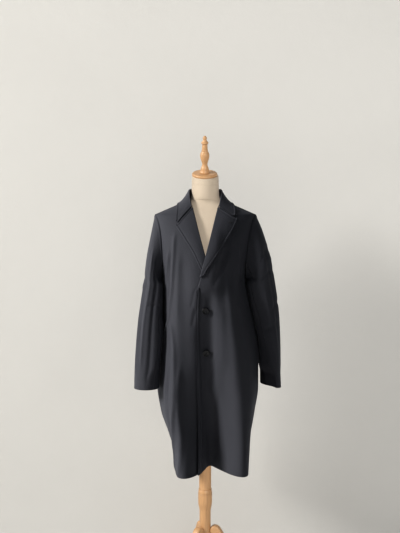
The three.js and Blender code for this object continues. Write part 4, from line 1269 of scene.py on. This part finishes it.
class COAT_OT_sewing(bpy.types.Operator):
    """Sews the hems, cuffs and edges and works the buttonholes"""

    bl_idname = "coat.sewing"
    bl_label = "Stitching and buttonholes"

    def execute(self, context):
        settings = context.scene.coat
        self.pitch = settings.stitch_pitch * 1000
        self.thread = sewing_thread(settings)
        for name in PANELS:
            self.sew_panel(name)
        for name in ("lapel_left", "lapel_right"):
            self.sew_rims(name, lapel_surface(name), 13)
        self.sew_rims("collar", collar_surface("collar"), 22)
        for name in SLEEVES:
            self.sew_cuff(name)
        self.work_buttonholes()
        return {"FINISHED"}

    def finish_thread(self, name, bm):
        shown(name, bm, self.thread)

    def sew(self, bm, line, kept):
        points, ups = line
        stitched(bm, points[kept], ups[kept], self.pitch, self.pitch * 0.7)

    def sew_panel(self, name):
        surface = panel_surface(name)
        back = name.startswith("back")
        normals = outward_normals(surface, BODY_CORE)
        from_edge, from_hem, _, _ = margins(surface, len(TURN_UP), 0 if back else 6)
        bm = bmesh.new()
        keep = slice(1, -1) if back else slice(8, -1)
        self.sew(bm, line_at(surface, normals, from_hem, HEM_STITCH, True), keep)
        if not back:
            edge = line_at(surface, normals, from_edge, EDGE_STITCH, False)
            closed = edge[0][:, 2] < BREAK_Z - 6
            closed[: len(TURN_UP) + 2] = False
            self.sew(bm, edge, closed)
        self.finish_thread("stitches_" + name, bm)

    def sew_rims(self, name, surface, first):
        """Sews round the free rims of a lapel or the collar, its flat columns starting at the first."""
        normals = outward_normals(surface, NECK_CORE)
        surface = surface + normals * bpy.context.scene.coat.lapel_thickness * 500
        _, from_foot, from_top, from_outer = margins(surface)
        bm = bmesh.new()
        outer = line_at(surface, normals, from_outer, LAPEL_STITCH, False)
        inside = (from_top[:, -1] > LAPEL_STITCH) & (from_foot[:, -1] > LAPEL_STITCH)
        self.sew(bm, outer, inside)
        for distances in (from_top, from_foot) if name == "collar" else (from_top,):
            flat = from_outer[surface.shape[0] // 2] > LAPEL_STITCH
            flat[:first] = False
            self.sew(bm, line_at(surface, normals, distances, LAPEL_STITCH, True), flat)
        self.finish_thread("stitches_" + name, bm)

    def sew_cuff(self, name):
        surface = sleeve_surface(name)
        normals = outward_normals(surface, sleeve_core(name))
        rows = surface.shape[0] - len(TURN_UP)
        surface, normals = surface[:rows], normals[:rows]
        bm = bmesh.new()
        self.sew(bm, line_at(surface, normals, margins(surface)[2], HEM_STITCH, True), slice(1, -1))
        self.finish_thread("stitches_" + name, bm)

    def work_buttonholes(self):
        bm = bmesh.new()
        for button in BUTTONS:
            along = np.linspace(-4, 24, 40)
            for way in (-1, 1):
                near, ups = front_at(button["x"] + along, np.full(40, button["z"] + 0.25 * way), 0.15)
                far, _ = front_at(button["x"] + along, np.full(40, button["z"] + 1.9 * way), 0.15)
                for a, b in zip(near, far):
                    laid_thread(bm, a, b, BAR_THICK)
        lift = LAYER_GAP + COLLAR_WALL + LAPEL_BOW * 0.75
        for x in np.linspace(68, 87, 30):
            for way in (-1, 1):
                z = 1321 + (x - 68) * 0.08
                low, high = (on_front(np.array(x), np.array(z + far * way), lift, 1) for far in (0.2, 1.8))
                laid_thread(bm, low, high, BAR_THICK)
        self.finish_thread("buttonholes", bm)


BUTTONS = ({"name": "button_top", "x": 0, "z": 1026}, {"name": "button_low", "x": 3, "z": 880})
BUTTON_PROFILE = (
    (0, -1.7), (9.6, -1.7), (10.9, -1.4), (11.8, -0.6), (12, 0.2), (11.8, 0.9), (11.2, 1.5), (10.4, 1.7),
    (9.6, 1.55), (8.9, 1.0), (8.1, 0.7), (7, 0.6), (0, 0.6),
)
BAR_THICK = 0.34
HOLE_OFFSET = 2.1
HOLE_RADIUS = 1.15


class COAT_OT_buttons(bpy.types.Operator):
    """Makes the two fastened buttons and their thread"""

    bl_idname = "coat.buttons"
    bl_label = "Buttons"

    def execute(self, context):
        settings = context.scene.coat
        for button in BUTTONS:
            low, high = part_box(button["name"])
            seat, normal = front_at(button["x"], button["z"])
            sunk = Vector(seat - on_front(np.array(button["x"]), np.array(button["z"]), 0, 1)) / 1000
            facing = Vector(normal).to_track_quat("Z", "Y").to_matrix().to_4x4()
            place = Matrix.Translation((low + high) / 2 + sunk) @ facing
            piece = turned_piece("horn_" + button["name"], BUTTON_PROFILE, place, horn(settings), 64)
            holes = bmesh.new()
            corners = [(x, y) for x in (-HOLE_OFFSET, HOLE_OFFSET) for y in (-HOLE_OFFSET, HOLE_OFFSET)]
            for x, y in corners:
                at = place @ Matrix.Translation((x / 1000, y / 1000, 0))
                bmesh.ops.create_cone(
                    holes, cap_ends=True, segments=20, radius1=HOLE_RADIUS / 1000, radius2=HOLE_RADIUS / 1000,
                    depth=0.006, matrix=at,
                )
            cutter = shown("hole_cutter", holes, horn(settings))
            cut = piece.modifiers.new("holes", "BOOLEAN")
            cut.object, cut.operation, cut.solver = cutter, "DIFFERENCE", "EXACT"
            context.view_layer.update()
            applied(piece)
            bpy.data.objects.remove(cutter)
            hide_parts(button["name"])
            self.thread_through(button["name"], place, settings)
        return {"FINISHED"}

    def thread_through(self, name, place, settings):
        """Two bars of thread over the face, and the shank under it."""
        bm = bmesh.new()
        for y in (-HOLE_OFFSET, HOLE_OFFSET):
            for strand in (-0.45, 0, 0.45):
                shape = Matrix.Diagonal((0.0031, 0.0003, 0.0011, 1))
                at = Matrix.Translation((0, (y + strand) / 1000, 0.0003))
                at = place @ at @ shape
                bmesh.ops.create_uvsphere(bm, u_segments=12, v_segments=8, radius=1, matrix=at)
        bmesh.ops.create_cone(
            bm, cap_ends=True, segments=16, radius1=0.0024, radius2=0.0024, depth=0.002,
            matrix=place @ Matrix.Translation((0, 0, -0.0025)),
        )
        shown("thread_" + name, bm, sewing_thread(settings))


# ---------- the dress form and its stand ----------
FORM_LOW_Z = 792
FORM = table(
    "z half front back middle",
    (FORM_LOW_Z, 134, -80, 92, 6),
    (850, 138, -86, 102, 6),
    (930, 127, -86, 92, 4),
    (1010, 112, -82, 80, 2),
    (1090, 119, -92, 84, 2),
    (1180, 132, -106, 92, 2),
    (1240, 142, -98, 94, 3),
    (1300, 153, -76, 88, 5),
    (1340, 165, -56, 78, 6),
    (TIP_Z, 168, -52, 76, 6),
    (1393, 63, -34, 57, 7),
    (1404, 52, -39, 57, 8),
    (1416, NECK_RADIUS, NECK_Y - NECK_RADIUS, NECK_Y + NECK_RADIUS, NECK_Y),
    (NECK_TOP_Z, 46, NECK_Y - 46, NECK_Y + 46, NECK_Y),
)
SHOULDER_DROP = {"half": 11, "depth": 6}
CAP_TILT = math.radians(18)
CAP_RADIUS = 44
CAP_THICK = 9
CAP_X = -2
TOUCH = 0.3


def form_surface(seam_z, columns=96):
    """The jersey-covered torso and neck as closed rings from the bottom up."""
    stretches = ((FORM_LOW_Z, TIP_Z, 70), (1353, 1416, 24), (1418, NECK_TOP_Z, 44))
    heights = np.concatenate([np.linspace(*stretch) for stretch in stretches])
    turn, z = np.meshgrid(np.linspace(0, 360, columns + 1), heights)
    row = row_at(FORM, z)
    coat = section(z, np.ones_like(z))
    near = (z >= 1300) & (z <= NECK_Z)
    half = np.where(near, np.minimum(row["half"], coat["half"] - SHOULDER_DROP["half"]), row["half"])
    front = np.where(near, np.maximum(row["front"], coat["front"] + SHOULDER_DROP["depth"]), row["front"])
    back = np.where(near, np.minimum(row["back"], coat["back"] - SHOULDER_DROP["depth"]), row["back"])
    sine, cosine = sine_cosine(turn)
    groove = 0.7 * bell(z - seam_z, 1.3) - 0.5 * bell(z - seam_z - 4, 3)
    rim = 2.5 * smooth((z - NECK_TOP_Z + 4) / 4) ** 2 + 3 * smooth((FORM_LOW_Z + 4 - z) / 4) ** 2
    depth = np.where(cosine > 0, row["middle"] - front, back - row["middle"])
    y = row["middle"] - cosine * (depth - groove - rim)
    slant = math.tan(CAP_TILT) * smooth((z - 1416) / (NECK_TOP_Z - 1416))
    return vec((half - groove - rim) * sine, y, z + (y - NECK_Y) * slant)


class COAT_OT_form(bpy.types.Operator):
    """Makes the jersey torso and neck"""

    bl_idname = "coat.form"
    bl_label = "Dress form"

    def execute(self, context):
        settings = context.scene.form
        surface = form_surface(settings.neck_seam_z * 1000)
        piece = cloth_piece("jersey_torso", surface, (0, 0, 1100), 1, 0, jersey(settings))
        piece.modifiers.clear()
        bm = bmesh.new()
        bm.from_mesh(piece.data)
        bmesh.ops.remove_doubles(bm, verts=bm.verts, dist=1e-6)
        bmesh.ops.holes_fill(bm, edges=bm.edges, sides=0)
        bm.to_mesh(piece.data)
        bm.free()
        piece.data.shade_smooth()
        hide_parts("form_torso")
        return {"FINISHED"}


FINIAL_ROWS = (
    (0, 0), (0, 0), (16.6, 0), (16.6, 0), (17.5, 1), (17.5, 3), (16.2, 5), (15, 8), (14.3, 12), (13.5, 17),
    (11.4, 22), (10, 26), (9.4, 30), (9.5, 33), (12, 42), (15, 52), (16, 61), (15, 69), (12, 74),
    (10.6, 77.5), (10.6, 77.5), (11.3, 79), (11.3, 80.5), (10, 82), (9.6, 90), (9, 98), (9, 98),
    (9.6, 101), (12, 104), (12.5, 106), (12, 108), (8.2, 112), (6.2, 117), (6.8, 122), (6.6, 125),
    (5.2, 127), (2.8, 129.6), (0, 130.5), (0, 130.5),
)
POST_ROWS = (
    (0, 118), (0, 118), (12, 118), (12, 118), (14, 120), (17, 124), (19.2, 129), (20, 134), (20, 134),
    (20, 284), (20, 284), (20.6, 290), (22.5, 300), (24.4, 312), (25, 325), (25, 340), (25, 348), (25, 348),
    (24.2, 349.5), (24.2, 351.5), (24.6, 353), (24.6, 353), (23.8, 360), (22, 366), (22, 366),
    (0, 366), (0, 366),
)


class COAT_OT_turned(bpy.types.Operator):
    """Makes the neck cap, the finial, the pole and the post"""

    bl_idname = "coat.turned"
    bl_label = "Turned wood"

    def execute(self, context):
        wood = turned_wood(context.scene.form)
        upright = Matrix.Translation(placed((0, 0, 0)))
        neck = Matrix.Translation(placed((CAP_X, NECK_Y, NECK_TOP_Z))) @ Matrix.Rotation(CAP_TILT, 4, "X")
        top = TOUCH + CAP_THICK
        cap_rows = (
            (0, TOUCH), (0, TOUCH), (CAP_RADIUS - 2.5, TOUCH), (CAP_RADIUS - 2.5, TOUCH),
            (CAP_RADIUS - 0.6, 1.2), (CAP_RADIUS, 3.2), (CAP_RADIUS, 5), (CAP_RADIUS - 0.8, 7.2),
            (CAP_RADIUS - 3, top - 0.4),
            (CAP_RADIUS - 6, top), (CAP_RADIUS - 6, top), (0, top), (0, top),
        )
        pole_low, pole_high = POST_ROWS[-1][1] + TOUCH, FORM_LOW_Z - TOUCH
        pole_rows = (
            (0, pole_low), (0, pole_low), (POLE_RADIUS - 1, pole_low), (POLE_RADIUS, pole_low + 1),
            (POLE_RADIUS, pole_low + 2), (POLE_RADIUS, pole_low + 2), (POLE_RADIUS, pole_high),
            (POLE_RADIUS, pole_high), (0, pole_high), (0, pole_high),
        )
        seat = neck @ Matrix.Translation((0, 0, (top + TOUCH) / 1000))
        for name, rows, place in (
            ("neck_cap", cap_rows, neck),
            ("finial", FINIAL_ROWS, seat),
            ("pole", pole_rows, upright),
            ("post", POST_ROWS, upright),
        ):
            piece = turned_piece("turned_" + name, soft_profile(rows), place, wood)
            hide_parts(name)
        return {"FINISHED"}


LEG_TURNS = {"leg_right": 230, "leg_left": 350, "leg_back": 110}
LEG_INNER = POST_RADIUS + 2 * TOUCH
LEG_SIDE = (  # the side view's Bezier stretches: two handles and an end, x away from the pole and z up
    ((28, 236), (46, 238), (58, 218)),
    ((84, 176), (110, 116), (168, 72)),
    ((204, 46), (232, 34), (262, 24)),
    ((280, 18), (282, 4), (268, 0)),
    (None, None, (234, 0)),
    ((216, 12), (186, 18), (150, 46)),
    ((106, 80), (92, 118), (58, 136)),
    ((44, 143), (30, 145), (LEG_INNER, 146)),
)


class COAT_OT_legs(bpy.types.Operator):
    """Makes the three legs"""

    bl_idname = "coat.legs"
    bl_label = "Legs"

    def execute(self, context):
        wood = turned_wood(context.scene.form)
        outline = [np.array((LEG_INNER, 224.0))]
        for first, second, end in LEG_SIDE:
            start, end = outline[-1], np.array(end, float)
            if first is None:
                outline.append(end)
                continue
            a, b = 3 * np.array(first), 3 * np.array(second)
            for t in np.linspace(0, 1, 11)[1:]:
                s = 1 - t
                outline.append(start * s**3 + a * t * s**2 + b * t**2 * s + end * t**3)
        for name, turn in LEG_TURNS.items():
            bm = bmesh.new()
            ring = [bm.verts.new((x / 1000, -LEG_THICK / 2000, z / 1000)) for x, z in outline]
            face = bm.faces.new(ring)
            grown = bmesh.ops.extrude_face_region(bm, geom=[face], use_keep_orig=True)
            moved = [v for v in grown["geom"] if isinstance(v, bmesh.types.BMVert)]
            bmesh.ops.translate(bm, verts=moved, vec=(0, LEG_THICK / 1000, 0))
            bmesh.ops.recalc_face_normals(bm, faces=bm.faces)
            rims = [e for e in bm.edges if e.is_manifold and e.calc_face_angle() > math.radians(50)]
            rims = [e for e in rims if not all(v.co.x < LEG_INNER / 1000 + 1e-5 for v in e.verts)]
            rims = [e for e in rims if abs(e.verts[0].co.y - e.verts[1].co.y) < 1e-6]
            bmesh.ops.bevel(
                bm, geom=rims, offset=0.006, offset_type="OFFSET", segments=5, profile=0.5, affect="EDGES",
                material=-1, clamp_overlap=True,
            )
            place = Matrix.Translation(placed((0, 0, 0))) @ Matrix.Rotation(math.radians(turn), 4, "Z")
            bmesh.ops.transform(bm, matrix=place, verts=bm.verts)
            piece = shown("turned_" + name, bm, wood)
            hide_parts(name)
        return {"FINISHED"}


# ---------- the stage ----------
WALL_SIZE = 12
FLOOR_SIZE = 16
WINDOW = {"at": (-5.6, -2.1, 3.9), "towards": (0, 0, 1.05), "size": (1.5, 1.8), "colour": (1, 0.975, 0.93)}
FILL = {"at": (1.4, -3.9, 2), "towards": (0.2, 0.2, 1.1), "size": (2.5, 2.5), "colour": (1, 0.98, 0.95)}
SKY_COLOUR = (0.9, 0.95, 1, 1)
CAMERA_AT = (-18.5, -2800, 1400)
CAMERA_DIP = 4.75
CAMERA_LENS = 54


class COAT_OT_stage(bpy.types.Operator):
    """Makes the wall, the floor, the lights and the camera"""

    bl_idname = "coat.stage"
    bl_label = "Stage"

    def execute(self, context):
        settings = context.scene.stage
        colour = tuple(settings.wall_colour)
        wall_y = placed((0, 0, 0))[1] + settings.wall_y
        upright = Matrix.Translation((0, wall_y, 2)) @ Matrix.Rotation(math.pi / 2, 4, "X")
        level = Matrix.Translation((0, -4, -0.0005))
        self.sheet_of("wall", plaster("Plaster", colour, True), WALL_SIZE, upright)
        self.sheet_of("floor", plaster("Screed", colour, False), FLOOR_SIZE, level)
        self.lamp("window", settings.key_power, **WINDOW)
        fill = self.lamp("fill", settings.fill_power, **FILL)
        pale = bpy.data.collections.new("Pale pieces")
        for piece in context.scene.objects:
            if piece.name.startswith(("wall", "floor", "jersey", "turned")):
                pale.objects.link(piece)
        fill.light_linking.receiver_collection = pale
        backdrop = bpy.data.collections.new("Backdrop")
        for name in ("wall", "floor"):
            backdrop.objects.link(bpy.data.objects[name])
        fill.light_linking.blocker_collection = backdrop
        world = bpy.data.worlds.new("Room")
        context.scene.world = world
        world.use_nodes = True
        sky = world.node_tree.nodes["Background"]
        sky.inputs["Color"].default_value = SKY_COLOUR
        sky.inputs["Strength"].default_value = settings.sky
        self.set_camera(context.scene)
        context.scene.view_settings.view_transform = "Standard"
        context.scene.view_settings.look = "High Contrast"
        return {"FINISHED"}

    def sheet_of(self, name, material, size, place):
        bm = bmesh.new()
        bmesh.ops.create_grid(bm, x_segments=1, y_segments=1, size=size / 2, matrix=place)
        mesh = mesh_of(name, bm)
        mesh.materials.append(material)
        linked(name, mesh)

    def lamp(self, name, power, at, towards, size, colour):
        light = bpy.data.lights.new(name, "AREA")
        light.shape, light.energy, light.color = "RECTANGLE", power, colour
        light.size, light.size_y = size
        lamp = linked(name, light)
        lamp.location = at
        lamp.rotation_euler = (Vector(towards) - Vector(at)).to_track_quat("-Z", "Y").to_euler()
        return lamp

    def set_camera(self, scene):
        """The camera stands in front of the pole, tipped down a little."""
        camera = linked("camera", bpy.data.cameras.new("camera"))
        camera.data.lens = CAMERA_LENS
        camera.location = placed(CAMERA_AT)
        camera.rotation_euler = (math.radians(90 - CAMERA_DIP), 0, 0)
        scene.camera = camera


class COAT_PT_sidebar(bpy.types.Panel):
    """Lists what makes each group of pieces, with its sizes and colours"""

    bl_label = "Chesterfield coat"
    bl_space_type = "VIEW_3D"
    bl_region_type = "UI"
    bl_category = "Coat"

    def draw(self, context):
        coat = (COAT_OT_body, COAT_OT_lapels, COAT_OT_sleeves, COAT_OT_sewing, COAT_OT_buttons)
        for operators, settings in (
            (coat, context.scene.coat),
            ((COAT_OT_form, COAT_OT_turned, COAT_OT_legs), context.scene.form),
            ((COAT_OT_stage,), context.scene.stage),
        ):
            column = self.layout.box().column()
            for made in operators:
                column.operator(made.bl_idname)
            for name in type(settings).__annotations__:
                column.prop(settings, name)


CLASSES = (
    CoatSettings, FormSettings, StageSettings, COAT_OT_body, COAT_OT_lapels, COAT_OT_sleeves, COAT_OT_sewing,
    COAT_OT_buttons, COAT_OT_form, COAT_OT_turned, COAT_OT_legs, COAT_OT_stage, COAT_PT_sidebar,
)


def register():
    for cls in CLASSES:
        bpy.utils.register_class(cls)
    bpy.types.Scene.coat = bpy.props.PointerProperty(type=CoatSettings)
    bpy.types.Scene.form = bpy.props.PointerProperty(type=FormSettings)
    bpy.types.Scene.stage = bpy.props.PointerProperty(type=StageSettings)


def unregister():
    del bpy.types.Scene.coat, bpy.types.Scene.form, bpy.types.Scene.stage
    for cls in reversed(CLASSES):
        bpy.utils.unregister_class(cls)


def main():
    register()
    bpy.ops.coat.body()
    bpy.ops.coat.lapels()
    bpy.ops.coat.sleeves()
    bpy.ops.coat.sewing()
    bpy.ops.coat.buttons()
    bpy.ops.coat.form()
    bpy.ops.coat.turned()
    bpy.ops.coat.legs()
    bpy.ops.coat.stage()


if __name__ == "__main__":
    main()
